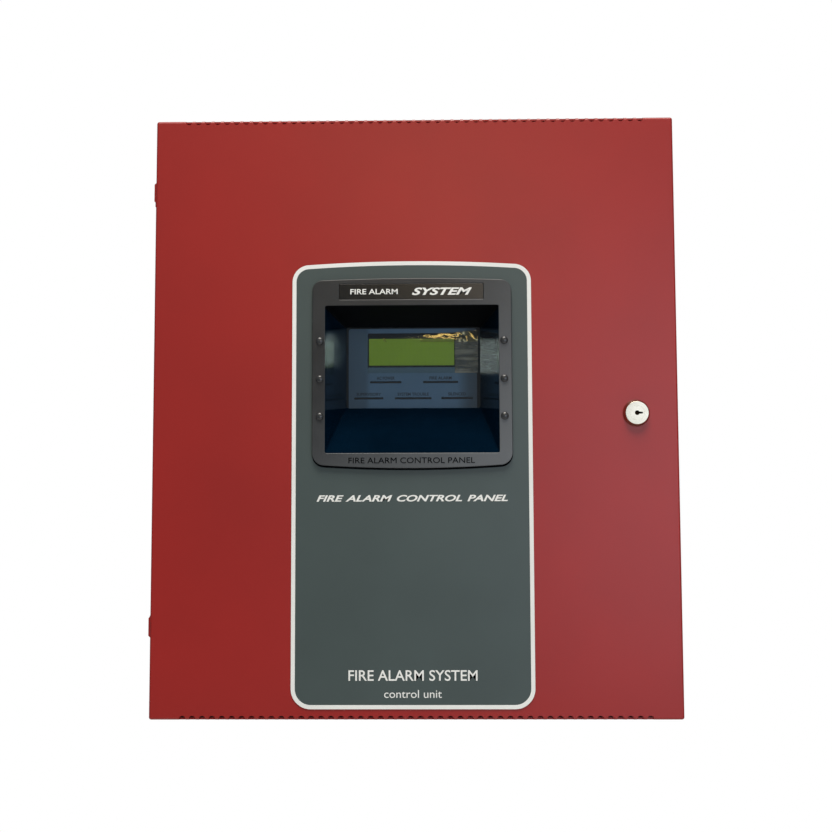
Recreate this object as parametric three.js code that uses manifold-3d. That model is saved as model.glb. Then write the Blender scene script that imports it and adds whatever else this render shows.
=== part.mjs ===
// Wall-mounted fire alarm control panel: a sheet-steel backbox with a hinged, key-locked door,
// a deep viewing bezel in the door, and the display, keypad, circuit board, transformer and
// standby batteries inside.
//
// Millimetres. +X is to the right of someone facing the door, +Z is up, and the door faces -Y.
// The origin is the centre of the backbox's back face, which lies against the wall.

import * as THREE from 'three';
import { mergeVertices } from 'three/addons/utils/BufferGeometryUtils.js';
import Module from 'manifold-3d';

const wasm = await Module();
wasm.setup();

// ---------------------------------------------------------------- driving dimensions

const GAP = 0.3; // air between pieces that rest against each other
const SHEET = 1.5; // 16 gauge steel sheet

const BOX = { width: 422.9, height: 482.6, depth: 133.4, lip: 13 };
const DOOR = { width: 427.2, height: 489.2, depth: 18.3, cornerRadius: 2.4, clearance: 0.6 };
const BOX_FRONT = -BOX.depth;
const DOOR_INNER = BOX_FRONT - DOOR.clearance;
const DOOR_FRONT = DOOR_INNER - SHEET;
const DOOR_BACK = DOOR_FRONT + DOOR.depth;

const VENT = { count: 48, pitch: 7.94, width: 5.5, onFace: 3.4, onFlange: 2.4 };

const KNUCKLE = { radius: 3.4, bore: 1.8, pin: 1.45, height: 7.6, chamfer: 0.9 };
const HINGE_X = -BOX.width / 2 - 4.25;
const HINGE_Y = DOOR_BACK + 3; // far enough behind the flange for the knuckle to turn
const HINGE_HEIGHTS = { upper: 184.9, lower: -171.3 };
const LEAF = { thickness: 1.5, length: 18, height: 24, tabHeight: 16.8, tabCorner: 1.3 };

const CENTRE_X = -2; // the label, the bezel and the display share this centre line
const LABEL = { halfWidth: 98.8, bottom: -236, shoulder: 122.5, crown: 2.7, thickness: 0.4 };
const LABEL_RADII = { top: 14, bottom: 16 };
const LABEL_FRONT = DOOR_FRONT - GAP - LABEL.thickness;

const BEZEL = { halfWidth: 81, bottom: -42, shoulder: 109.2, crown: 1.4, sag: 2.4, thickness: 3 };
const BEZEL_RADII = { top: 6, bottom: 10 };
const BEZEL_BACK = LABEL_FRONT - GAP;
const BEZEL_FRONT = BEZEL_BACK - BEZEL.thickness;
const FUNNEL_WALL = 2;
const FUNNEL_MOUTH = { x0: -72.6, x1: 68.6, z0: -32, z1: 88.2, y: BEZEL_FRONT };
const FUNNEL_THROAT = { x0: -58.6, x1: 56.4, z0: 6.4, z1: 76.9, y: DOOR_FRONT + 39.7 };
const CUT_OUT = { x0: -76.2, x1: 72.2, z0: -36.4, z1: 91.8 };
const PANE = { margin: 2.4, thickness: 2 };

const NAMEPLATE = { x0: -61.1, x1: 56.3, z0: 93.3, z1: 106, thickness: 0.6, recess: 1 };
const RIVET = { radius: 3.2, rise: 1.9, fromCentre: 74.9, heights: [59.2, 28.1, -2.3] };

const LOCK = { x: 179.4, z: -0.4, headRadius: 10.9, faceRadius: 9.2, headRise: 4.4 };
const BARREL = { radius: 8.25, plugRadius: 5.6, bore: 5.95 };
const NUT = { radius: 12, thickness: 3 };
const CAM = { length: 25, width: 14, thickness: 2, hole: 2.4, y0: -122.7 };
const STRIKE = { reach: 196, height: 50, depth: 20.5 };

const CHASSIS = { halfWidth: 188, z0: -112, z1: 218, face: -62 };
const BOARD = { halfWidth: 182, z0: -108, z1: 212, back: -68, thickness: 1.6 };
const STANDOFF = { radius: 3, xs: [-170, 0, 170], zs: [-80, 180] };
const BOARD_FRONT = BOARD.back - BOARD.thickness;

const HOUSING = { x0: -77, x1: 72.6, z0: -92, z1: 90, front: -91, skin: 2.5, wall: 2, radius: 4 };
const LCD_GLASS = { x0: -40.6, x1: 34.6, z0: 43, z1: 72.4 };
const LCD_MODULE = { x0: -51, x1: 46.5, z0: 36.5, z1: 78.5, thickness: 5.5 };
const LAMP = { height: 1.8, depth: 4 };
const LAMPS = [
  { name: 'lamp_power', x0: -38.8, x1: -11.9, z: 30.3 },
  { name: 'lamp_alarm', x0: 6.6, x1: 36.4, z: 30.3 },
  { name: 'lamp_supervisory', x0: -52.3, x1: -27.5, z: 16.5 },
  { name: 'lamp_trouble', x0: -17.5, x1: 13.7, z: 16.5 },
  { name: 'lamp_silenced', x0: 22.1, x1: 49, z: 16.5 },
];

const KEY = { width: 14, height: 10, rise: 2.8, flange: 1.2, chamfer: 0.8, play: 0.5 };
const KEY_GRID = { pitchX: 22, pitchZ: 17.5, topZ: -19 };
const KEY_ROWS = [
  ['key_1', 'key_2', 'key_3', 'key_acknowledge'],
  ['key_4', 'key_5', 'key_6', 'key_silence'],
  ['key_7', 'key_8', 'key_9', 'key_drill'],
  ['key_star', 'key_0', 'key_hash', 'key_reset'],
];

const TERMINALS = { height: 11, depth: 12, step: 5, length: 84, topZ: 196, bottomZ: -106 };
const BATTERY = { width: 151, depth: 98, height: 95, xs: [-202, -47], lid: 2, tab: 6 };
const TRANSFORMER = { x: 158, z: -206, width: 66, height: 55, stack: 34, leg: 22, window: 11 };

const KNOCKOUT = { radius: 14.1, depth: 0.5 };
const KNOCKOUT_Y = -BOX.depth * 0.45;
const KEYHOLE = { x: 165, z: 212, radius: 5.5, slot: 2.8, rise: 12 };

// ---------------------------------------------------------------- finishes

const FINISH = {
  redEnamel: { color: '#96312f', roughness: 0.45, metalness: 0.1 },
  labelGrey: { color: '#4a5455', roughness: 0.6, metalness: 0 },
  bezelPlastic: { color: '#3b3c3e', roughness: 0.5, metalness: 0 },
  nameplateBlack: { color: '#17181a', roughness: 0.4, metalness: 0 },
  clearPane: { color: '#c8d4dc', roughness: 0.1, metalness: 0 },
  nickel: { color: '#c9c6bc', roughness: 0.3, metalness: 1 },
  zincSteel: { color: '#b4b6b6', roughness: 0.4, metalness: 0.9 },
  circuitGreen: { color: '#1f5a38', roughness: 0.5, metalness: 0 },
  fasciaBlue: { color: '#2f3e4e', roughness: 0.5, metalness: 0 },
  lcdGreen: { color: '#7e9434', roughness: 0.3, metalness: 0 },
  blackPlastic: { color: '#1b1c1e', roughness: 0.55, metalness: 0 },
  keyRubber: { color: '#c4c7c6', roughness: 0.7, metalness: 0 },
  terminalGreen: { color: '#2c7a46', roughness: 0.5, metalness: 0 },
  coreSteel: { color: '#54565a', roughness: 0.6, metalness: 0.6 },
  windingTape: { color: '#c79a2c', roughness: 0.6, metalness: 0 },
  batteryCase: { color: '#3a3d42', roughness: 0.6, metalness: 0 },
};

const panel = new THREE.Group();

function addPiece(name, solid, finish) {
  const mesh = new THREE.Mesh(toGeometry(solid), new THREE.MeshStandardMaterial(finish));
  mesh.name = name;
  panel.add(mesh);
}

// ---------------------------------------------------------------- solids

function toSolid(geometry) {
  const bare = geometry.index ? geometry.toNonIndexed() : geometry.clone();
  bare.deleteAttribute('normal');
  bare.deleteAttribute('uv');
  const merged = mergeVertices(bare, 1e-4);
  const vertProperties = new Float32Array(merged.attributes.position.array);
  const triVerts = new Uint32Array(merged.index.array);
  return new wasm.Manifold(new wasm.Mesh({ numProp: 3, vertProperties, triVerts }));
}

function toGeometry(solid) {
  const mesh = solid.getMesh();
  const geometry = new THREE.BufferGeometry();
  geometry.setAttribute('position', new THREE.BufferAttribute(mesh.vertProperties, 3));
  geometry.setIndex(new THREE.BufferAttribute(mesh.triVerts, 1));
  geometry.computeVertexNormals();
  return geometry;
}

function block(x0, x1, y0, y1, z0, z1) {
  const geometry = new THREE.BoxGeometry(x1 - x0, y1 - y0, z1 - z0);
  geometry.translate((x0 + x1) / 2, (y0 + y1) / 2, (z0 + z1) / 2);
  return toSolid(geometry);
}

// A shape drawn in X and Z, as seen from the front, pulled through from y0 to y1.
function prismY(shape, y0, y1, curveSegments = 5) {
  const geometry = new THREE.ExtrudeGeometry(shape, {
    depth: y1 - y0,
    bevelEnabled: false,
    curveSegments,
  });
  geometry.rotateX(Math.PI / 2);
  geometry.translate(0, y1, 0);
  return toSolid(geometry);
}

// A shape drawn in X and Y, as seen from above, pulled up from z0 to z1.
function prismZ(shape, z0, z1, curveSegments = 5) {
  const geometry = new THREE.ExtrudeGeometry(shape, {
    depth: z1 - z0,
    bevelEnabled: false,
    curveSegments,
  });
  geometry.translate(0, 0, z0);
  return toSolid(geometry);
}

// A rod along Y through (x, z).
function rodY(radius, y0, y1, x, z, sides = 20) {
  const geometry = new THREE.CylinderGeometry(radius, radius, y1 - y0, sides);
  geometry.translate(x, (y0 + y1) / 2, z);
  return toSolid(geometry);
}

// A rod along Z through (x, y).
function rodZ(radius, z0, z1, x, y, sides = 16) {
  const geometry = new THREE.CylinderGeometry(radius, radius, z1 - z0, sides);
  geometry.rotateX(Math.PI / 2);
  geometry.translate(x, y, (z0 + z1) / 2);
  return toSolid(geometry);
}

// A profile of [radius, height] points, listed upwards on its outside, turned about the
// vertical line through (x, y).
function turnedZ(profile, x, y, z, sides = 16) {
  const points = profile.map(([radius, height]) => new THREE.Vector2(radius, height));
  const geometry = new THREE.LatheGeometry(points, sides);
  geometry.rotateX(Math.PI / 2);
  geometry.translate(x, y, z);
  return toSolid(geometry);
}

// A profile of [radius, rise] points, turned about a line along Y. The rise is the distance
// in front of yBase, and the profile is listed from front to back on its outside.
function turnedY(profile, x, yBase, z, sides = 24) {
  const points = profile.map(([radius, rise]) => new THREE.Vector2(radius, -rise));
  const geometry = new THREE.LatheGeometry(points, sides);
  geometry.translate(x, yBase, z);
  return toSolid(geometry);
}

// A four-sided funnel shape between two upright rectangles at different depths.
function taper(front, back) {
  const geometry = new THREE.BoxGeometry(1, 1, 1);
  const position = geometry.attributes.position;
  for (let i = 0; i < position.count; i += 1) {
    const end = position.getY(i) < 0 ? front : back;
    const x = position.getX(i) < 0 ? end.x0 : end.x1;
    const z = position.getZ(i) < 0 ? end.z0 : end.z1;
    position.setXYZ(i, x, end.y, z);
  }
  return toSolid(geometry);
}

function roundedRectangle(x0, x1, z0, z1, radius) {
  const shape = new THREE.Shape();
  const right = -Math.PI / 2;
  shape.absarc(x1 - radius, z0 + radius, radius, right, 0);
  shape.absarc(x1 - radius, z1 - radius, radius, 0, Math.PI / 2);
  shape.absarc(x0 + radius, z1 - radius, radius, Math.PI / 2, Math.PI);
  shape.absarc(x0 + radius, z0 + radius, radius, Math.PI, Math.PI * 1.5);
  shape.closePath();
  return shape;
}

// An upright outline with round corners, a crowned top edge and a sagging bottom edge.
function crownedOutline({ halfWidth, bottom, shoulder, crown, sag = 0 }, radii) {
  const [x0, x1] = [CENTRE_X - halfWidth, CENTRE_X + halfWidth];
  const shape = new THREE.Shape();
  shape.moveTo(x0 + radii.bottom, bottom);
  shape.quadraticCurveTo(CENTRE_X, bottom - 2 * sag, x1 - radii.bottom, bottom);
  shape.absarc(x1 - radii.bottom, bottom + radii.bottom, radii.bottom, -Math.PI / 2, 0);
  shape.absarc(x1 - radii.top, shoulder - radii.top, radii.top, 0, Math.PI / 2);
  shape.quadraticCurveTo(CENTRE_X, shoulder + 2 * crown, x0 + radii.top, shoulder);
  shape.absarc(x0 + radii.top, shoulder - radii.top, radii.top, Math.PI / 2, Math.PI);
  shape.absarc(x0 + radii.bottom, bottom + radii.bottom, radii.bottom, Math.PI, Math.PI * 1.5);
  shape.closePath();
  return shape;
}

function join(solids) {
  return solids.reduce((whole, next) => whole.add(next));
}

function cut(solid, tools) {
  return tools.reduce((rest, tool) => rest.subtract(tool), solid);
}

function grown(rect, by) {
  return { x0: rect.x0 - by, x1: rect.x1 + by, z0: rect.z0 - by, z1: rect.z1 + by, y: rect.y };
}

function plate(rect, y0, y1) {
  return block(rect.x0, rect.x1, y0, y1, rect.z0, rect.z1);
}

// ---------------------------------------------------------------- cabinet

function knockouts() {
  const [halfW, halfH] = [BOX.width / 2, BOX.height / 2];
  const tools = [];
  for (const x of [-160, -80, 0, 80, 160]) {
    const disc = new THREE.CylinderGeometry(KNOCKOUT.radius, KNOCKOUT.radius, 2, 16);
    disc.rotateX(Math.PI / 2);
    disc.translate(x, KNOCKOUT_Y, halfH - KNOCKOUT.depth + 1);
    tools.push(toSolid(disc));
  }
  for (const side of [-1, 1]) {
    for (const z of [-60, 60, 170]) {
      const disc = new THREE.CylinderGeometry(KNOCKOUT.radius, KNOCKOUT.radius, 2, 16);
      disc.rotateZ(Math.PI / 2);
      disc.translate(side * (halfW - KNOCKOUT.depth + 1), KNOCKOUT_Y, z);
      tools.push(toSolid(disc));
    }
  }
  return tools;
}

function keyholes() {
  const tools = [];
  for (const side of [-1, 1]) {
    const x = side * KEYHOLE.x;
    const { slot, rise, radius } = KEYHOLE;
    tools.push(rodY(radius, -5, 5, x, KEYHOLE.z));
    tools.push(block(x - slot, x + slot, -5, 5, KEYHOLE.z, KEYHOLE.z + rise));
    tools.push(rodY(slot, -5, 5, x, -KEYHOLE.z, 12));
  }
  return tools;
}

function makeBackbox() {
  const [halfW, halfH] = [BOX.width / 2, BOX.height / 2];
  const shell = block(-halfW, halfW, BOX_FRONT, 0, -halfH, halfH);
  const inW = halfW - SHEET;
  const inH = halfH - SHEET;
  const cavity = block(-inW, inW, BOX_FRONT + SHEET, -SHEET, -inH, inH);
  const lipW = halfW - BOX.lip;
  const lipH = halfH - BOX.lip;
  const mouth = block(-lipW, lipW, BOX_FRONT - 1, BOX_FRONT + 2 * SHEET, -lipH, lipH);
  addPiece('backbox', cut(shell, [cavity, mouth, ...knockouts(), ...keyholes()]), FINISH.redEnamel);
}

// One half of a hinge knuckle, above or below the joint line at height z.
function halfKnuckle(z, above) {
  const { radius, height, chamfer } = KNUCKLE;
  const [near, far] = [GAP / 2, GAP / 2 + height];
  const profile = [[0, near], [radius, near], [radius, far - chamfer], [radius - chamfer, far], [0, far]];
  const mirrored = profile.map(([r, h]) => [r, -h]).reverse();
  return turnedZ(above ? profile : mirrored, HINGE_X, HINGE_Y, z);
}

function knuckleBore(z) {
  const reach = 2 * KNUCKLE.height;
  return rodZ(KNUCKLE.bore, z - reach, z + reach, HINGE_X, HINGE_Y);
}

// The half knuckle and leaf that stay on the cabinet, screwed to the outside of its left wall.
function makeCabinetLeaf(name, z) {
  const wall = -BOX.width / 2 - GAP;
  const leafX = wall - LEAF.thickness;
  const leafY = HINGE_Y + KNUCKLE.radius + 0.6;
  const halfH = LEAF.height / 2;
  const leaf = block(leafX, wall, leafY, leafY + LEAF.length, z - halfH, z + halfH);
  const top = z - GAP / 2;
  const neck = block(leafX - 1, wall, HINGE_Y, leafY + 1, top - KNUCKLE.height, top);
  addPiece(name, join([leaf, neck, halfKnuckle(z, false)]).subtract(knuckleBore(z)), FINISH.redEnamel);
}

// The half knuckle and leaf that swing with the door, on the outside of its left flange.
function makeDoorLeaf(name, z) {
  const flange = -DOOR.width / 2 - GAP;
  const leafX = flange - LEAF.thickness;
  const bottom = z + GAP / 2;
  const top = bottom + KNUCKLE.height;
  const half = LEAF.tabHeight / 2;
  const shape = new THREE.Shape([
    new THREE.Vector2(flange, z - half),
    new THREE.Vector2(flange, z + half),
    new THREE.Vector2(leafX, z + half - LEAF.tabCorner),
    new THREE.Vector2(leafX, z - half + LEAF.tabCorner),
  ]);
  const leaf = prismY(shape, DOOR_FRONT + 3, HINGE_Y - 4.4);
  const neck = block(leafX, flange, HINGE_Y - 5, HINGE_Y, bottom, top);
  addPiece(name, join([leaf, neck, halfKnuckle(z, true)]).subtract(knuckleBore(z)), FINISH.redEnamel);
}

function makeHingePin(name, z) {
  const { pin, height } = KNUCKLE;
  const profile = [[0, -height], [pin, -height], [pin, height - 0.5], [pin - 0.5, height], [0, height]];
  addPiece(name, turnedZ(profile, HINGE_X, HINGE_Y, z, 12), FINISH.zincSteel);
}

// The bent tab inside the right wall that the lock's cam turns behind.
function makeLockStrike() {
  const wall = BOX.width / 2 - SHEET - GAP;
  const face = CAM.y0 - GAP;
  const shape = new THREE.Shape([
    new THREE.Vector2(STRIKE.reach, face - SHEET),
    new THREE.Vector2(wall, face - SHEET),
    new THREE.Vector2(wall, face - SHEET + STRIKE.depth),
    new THREE.Vector2(wall - SHEET, face - SHEET + STRIKE.depth),
    new THREE.Vector2(wall - SHEET, face),
    new THREE.Vector2(STRIKE.reach, face),
  ]);
  const half = STRIKE.height / 2;
  addPiece('lock_strike', prismZ(shape, LOCK.z - half, LOCK.z + half), FINISH.zincSteel);
}

// ---------------------------------------------------------------- electronics

function makeChassis() {
  const { halfWidth, z0, z1, face } = CHASSIS;
  const back = -SHEET - GAP;
  const front = block(-halfWidth, halfWidth, face, face + SHEET, z0, z1);
  const left = block(-halfWidth, -halfWidth + SHEET, face, back, z0, z1);
  const right = block(halfWidth - SHEET, halfWidth, face, back, z0, z1);
  const posts = [];
  for (const x of STANDOFF.xs) {
    for (const z of STANDOFF.zs) {
      posts.push(rodY(STANDOFF.radius, BOARD.back + GAP, face + 0.5, x, z, 8));
    }
  }
  addPiece('chassis', join([front, left, right, ...posts]), FINISH.zincSteel);
}

function makeMainBoard() {
  const { halfWidth, z0, z1, back } = BOARD;
  const board = block(-halfWidth, halfWidth, BOARD_FRONT, back, z0, z1);
  addPiece('main_board', board, FINISH.circuitGreen);
}

function makeTerminalBlocks() {
  const { height, depth, step, length, topZ, bottomZ } = TERMINALS;
  const y1 = BOARD_FRONT - GAP;
  const starts = { left: -BOARD.halfWidth + 8, right: BOARD.halfWidth - 8 - length };
  for (const [side, x0] of Object.entries(starts)) {
    for (const [end, z0] of Object.entries({ upper: topZ, lower: bottomZ })) {
      const body = block(x0, x0 + length, y1 - depth, y1, z0, z0 + height);
      const stepZ = end === 'upper' ? z0 + height - step : z0 - 1;
      const stepY = y1 - depth;
      const notch = block(x0 - 1, x0 + length + 1, stepY - 1, stepY + step, stepZ, stepZ + step + 1);
      addPiece(`terminal_block_${end}_${side}`, body.subtract(notch), FINISH.terminalGreen);
    }
  }
}

function makeBatteries() {
  const { width, depth, height, xs, lid, tab } = BATTERY;
  const floor = -BOX.height / 2 + SHEET + GAP;
  const back = -SHEET - 2;
  xs.forEach((x0, index) => {
    const top = floor + height;
    const body = block(x0, x0 + width, back - depth, back, floor, top);
    const cover = block(x0 + 3, x0 + width - 3, back - depth + 3, back - 3, top - 1, top + lid);
    const tabs = [x0 + 14, x0 + width - 14].map((x) =>
      block(x - 3, x + 3, back - depth + 12, back - depth + 13, top, top + lid + tab));
    const name = index === 0 ? 'battery_left' : 'battery_right';
    addPiece(name, join([body, cover, ...tabs]), FINISH.batteryCase);
  });
}

// A laminated core with two windows, and the winding round its middle leg.
function makeTransformer() {
  const { x, z, width, height, stack, leg, window } = TRANSFORMER;
  const y0 = -10 - stack;
  const halfH = height / 2;
  const windowHalfH = halfH - window;
  const core = block(x - width / 2, x + width / 2, y0, -10, z - halfH, z + halfH);
  const windows = [-1, 1].map((side) => {
    const inner = x + side * (leg / 2);
    const outer = x + side * (leg / 2 + window);
    const [w0, w1] = [Math.min(inner, outer), Math.max(inner, outer)];
    return block(w0, w1, y0 - 1, -9, z - windowHalfH, z + windowHalfH);
  });
  const feet = [-1, 1].map((side) => {
    const outer = x + side * (width / 2 - 4);
    return block(outer - 4, outer + 4, -11, -SHEET - GAP, z - halfH, z + halfH);
  });
  addPiece('transformer_core', join([cut(core, windows), ...feet]), FINISH.coreSteel);

  const reach = leg / 2 + window - GAP;
  const coilH = windowHalfH - GAP;
  const coil = block(x - reach, x + reach, y0 - 7, -10 + 7, z - coilH, z + coilH);
  const legHole = block(x - leg / 2 - GAP, x + leg / 2 + GAP, y0 - GAP, -10 + GAP, z - halfH, z + halfH);
  addPiece('transformer_winding', coil.subtract(legHole), FINISH.windingTape);
}

// ---------------------------------------------------------------- display and keypad

function keyCentres() {
  return KEY_ROWS.flatMap((row, rowIndex) =>
    row.map((name, column) => ({
      name,
      x: CENTRE_X + (column - 1.5) * KEY_GRID.pitchX,
      z: KEY_GRID.topZ - rowIndex * KEY_GRID.pitchZ,
    })));
}

// The moulded housing over the display and keypad, open at the back.
function makeDisplayHousing() {
  const { x0, x1, z0, z1, front, skin, wall, radius } = HOUSING;
  const rim = BOARD_FRONT - GAP;
  const outer = prismY(roundedRectangle(x0, x1, z0, z1, radius), front, rim, 3);
  const hollow = block(x0 + wall, x1 - wall, front + skin, rim + 1, z0 + wall, z1 - wall);
  const through = [front - 1, front + skin + 1];
  const tools = [hollow, plate(grown(LCD_GLASS, GAP), ...through)];
  for (const lamp of LAMPS) {
    const slot = { x0: lamp.x0, x1: lamp.x1, z0: lamp.z - LAMP.height / 2, z1: lamp.z + LAMP.height / 2 };
    tools.push(plate(grown(slot, GAP), ...through));
  }
  for (const key of keyCentres()) {
    const [halfW, halfH] = [KEY.width / 2 + KEY.play, KEY.height / 2 + KEY.play];
    tools.push(block(key.x - halfW, key.x + halfW, ...through, key.z - halfH, key.z + halfH));
  }
  addPiece('display_housing', cut(outer, tools), FINISH.fasciaBlue);
}

function makeDisplay() {
  const skinBack = HOUSING.front + HOUSING.skin;
  const moduleFront = skinBack + GAP;
  const moduleBack = moduleFront + LCD_MODULE.thickness;
  addPiece('lcd_glass', plate(LCD_GLASS, HOUSING.front + 0.8, skinBack), FINISH.lcdGreen);
  addPiece('lcd_module', plate(LCD_MODULE, moduleFront, moduleBack), FINISH.blackPlastic);
  for (const lamp of LAMPS) {
    const rect = { x0: lamp.x0, x1: lamp.x1, z0: lamp.z - LAMP.height / 2, z1: lamp.z + LAMP.height / 2 };
    addPiece(lamp.name, plate(rect, HOUSING.front - 0.2, HOUSING.front + LAMP.depth), FINISH.blackPlastic);
  }
  const board = { x0: HOUSING.x0 + 3, x1: HOUSING.x1 - 3, z0: HOUSING.z0 + 3, z1: HOUSING.z1 - 3 };
  addPiece('display_board', plate(board, moduleBack + GAP, moduleBack + GAP + 1.6), FINISH.circuitGreen);
  const mat = { x0: HOUSING.x0 + 5, x1: HOUSING.x1 - 5, z0: HOUSING.z0 + 5, z1: KEY_GRID.topZ + 12 };
  addPiece('keypad_mat', plate(mat, moduleBack - 2.5, moduleBack), FINISH.keyRubber);
}

function makeKeys() {
  const skinBack = HOUSING.front + HOUSING.skin;
  const [halfW, halfH] = [KEY.width / 2, KEY.height / 2];
  for (const key of keyCentres()) {
    const foot = { x0: key.x - halfW, x1: key.x + halfW, z0: key.z - halfH, z1: key.z + halfH };
    const crown = grown(foot, -KEY.chamfer);
    const capFront = HOUSING.front - KEY.rise;
    const flangeBack = skinBack + GAP + KEY.flange;
    const bevel = taper({ ...crown, y: capFront }, { ...foot, y: capFront + KEY.chamfer });
    const stem = plate(foot, capFront + KEY.chamfer, flangeBack);
    const flange = plate(grown(foot, 1), skinBack + GAP, flangeBack);
    addPiece(key.name, join([bevel, stem, flange]), FINISH.keyRubber);
  }
}

// ---------------------------------------------------------------- door

function doorTray(inset, frontY, backY, bendSegments) {
  const [halfW, halfH] = [DOOR.width / 2 - inset, DOOR.height / 2 - inset];
  const radius = DOOR.cornerRadius - inset;
  const bend = radius * 0.85;
  const shape = roundedRectangle(-halfW, halfW, -halfH, halfH, radius);
  const geometry = new THREE.ExtrudeGeometry(shape, {
    depth: backY - frontY - bend,
    bevelThickness: bend,
    bevelSize: bend,
    bevelOffset: -bend,
    bevelSegments: bendSegments,
    curveSegments: 3,
  });
  geometry.rotateX(Math.PI / 2);
  geometry.translate(0, backY, 0);
  return toSolid(geometry);
}

function ventCutters() {
  const tools = [];
  const edge = DOOR.height / 2;
  for (let i = 0; i < VENT.count; i += 1) {
    const x = (i - (VENT.count - 1) / 2) * VENT.pitch;
    const [x0, x1] = [x - VENT.width / 2, x + VENT.width / 2];
    const [y0, y1] = [DOOR_FRONT - 1, DOOR_FRONT + VENT.onFlange];
    tools.push(block(x0, x1, y0, y1, edge - VENT.onFace, edge + 1));
    tools.push(block(x0, x1, y0, y1, -edge - 1, -edge + VENT.onFace));
  }
  return tools;
}

function makeDoor() {
  const overrun = 10;
  const outer = doorTray(0, DOOR_FRONT, DOOR_BACK + overrun, 2);
  const inner = doorTray(SHEET, DOOR_INNER, DOOR_BACK + 2 * overrun, 1);
  const [w, h] = [DOOR.width, DOOR.height];
  const beyond = block(-w, w, DOOR_BACK, DOOR_BACK + 4 * overrun, -h, h);
  const cutOut = plate(CUT_OUT, DOOR_FRONT - 1, DOOR_INNER + 1);
  const lockHole = rodY(BARREL.radius + 0.35, DOOR_FRONT - 1, DOOR_INNER + 1, LOCK.x, LOCK.z, 24);
  const tools = [inner, beyond, cutOut, lockHole, ...ventCutters()];
  addPiece('door', cut(outer, tools), FINISH.redEnamel);
}

function makeLabel() {
  const sheet = prismY(crownedOutline(LABEL, LABEL_RADII), LABEL_FRONT, LABEL_FRONT + LABEL.thickness, 6);
  const hole = plate(CUT_OUT, LABEL_FRONT - 1, LABEL_FRONT + 1);
  addPiece('door_label', sheet.subtract(hole), FINISH.labelGrey);
}

function makeBezel() {
  const frame = prismY(crownedOutline(BEZEL, BEZEL_RADII), BEZEL_FRONT, BEZEL_BACK, 5);
  const outerMouth = { ...grown(FUNNEL_MOUTH, FUNNEL_WALL), y: BEZEL_FRONT + 1 };
  const funnel = taper(outerMouth, grown(FUNNEL_THROAT, FUNNEL_WALL));
  const hollow = taper(FUNNEL_MOUTH, FUNNEL_THROAT);
  const { x0, x1, z0, z1 } = FUNNEL_THROAT;
  const throat = block(x0, x1, FUNNEL_THROAT.y - 1, FUNNEL_THROAT.y + 1, z0, z1);
  const mouth = plate(FUNNEL_MOUTH, BEZEL_FRONT - 1, BEZEL_FRONT);
  const recess = plate(grown(NAMEPLATE, GAP), BEZEL_FRONT - 1, BEZEL_FRONT + NAMEPLATE.recess);
  addPiece('window_bezel', cut(frame.add(funnel), [hollow, throat, mouth, recess]), FINISH.bezelPlastic);
}

function makeNameplate() {
  const back = BEZEL_FRONT + NAMEPLATE.recess - GAP;
  addPiece('nameplate', plate(NAMEPLATE, back - NAMEPLATE.thickness, back), FINISH.nameplateBlack);
}

function makePane() {
  const front = FUNNEL_THROAT.y + GAP;
  const pane = plate(grown(FUNNEL_THROAT, PANE.margin), front, front + PANE.thickness);
  addPiece('display_window', pane, FINISH.clearPane);
}

function makeRivets() {
  const { radius, rise, fromCentre, heights } = RIVET;
  const profile = [[0, rise], [radius * 0.5, rise * 0.85], [radius * 0.85, rise * 0.5], [radius, 0], [0, 0]];
  for (const [side, sign] of [['left', -1], ['right', 1]]) {
    heights.forEach((z, index) => {
      const dome = turnedY(profile, CENTRE_X + sign * fromCentre, BEZEL_FRONT - GAP, z, 12);
      addPiece(`bezel_rivet_${side}_${index + 1}`, dome, FINISH.bezelPlastic);
    });
  }
}

// ---------------------------------------------------------------- lock

function makeLockBody() {
  const seat = DOOR_FRONT - GAP;
  const barrelLength = CAM.y0 - 3 * GAP - seat;
  const profile = [
    [BARREL.bore, -barrelLength],
    [BARREL.bore, LOCK.headRise],
    [LOCK.faceRadius, LOCK.headRise],
    [LOCK.headRadius, LOCK.headRise - 1.6],
    [LOCK.headRadius, 0],
    [BARREL.radius, 0],
    [BARREL.radius, -barrelLength],
    [BARREL.bore, -barrelLength],
  ];
  addPiece('lock_body', turnedY(profile, LOCK.x, seat, LOCK.z), FINISH.nickel);
}

function makeLockNut() {
  const front = DOOR_INNER + GAP;
  const hexagon = rodY(NUT.radius, front, front + NUT.thickness, LOCK.x, LOCK.z, 6);
  const hole = rodY(BARREL.radius + 0.35, front - 1, front + NUT.thickness + 1, LOCK.x, LOCK.z, 24);
  addPiece('lock_nut', hexagon.subtract(hole), FINISH.zincSteel);
}

function makeLockPlug() {
  const face = DOOR_FRONT - GAP - LOCK.headRise;
  const back = CAM.y0 - GAP;
  const plug = rodY(BARREL.plugRadius, face, back, LOCK.x, LOCK.z, 20);
  const keyway = block(LOCK.x - 1, LOCK.x + 4.6, face - 1, face + 9, LOCK.z - 0.8, LOCK.z + 0.8);
  const pilot = rodY(1.9, face - 1, face + 9, LOCK.x, LOCK.z, 10);
  const thread = rodY(CAM.hole, back - 5, back + 1, LOCK.x, LOCK.z, 10);
  addPiece('lock_plug', cut(plug, [keyway, pilot, thread]), FINISH.nickel);
}

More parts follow.
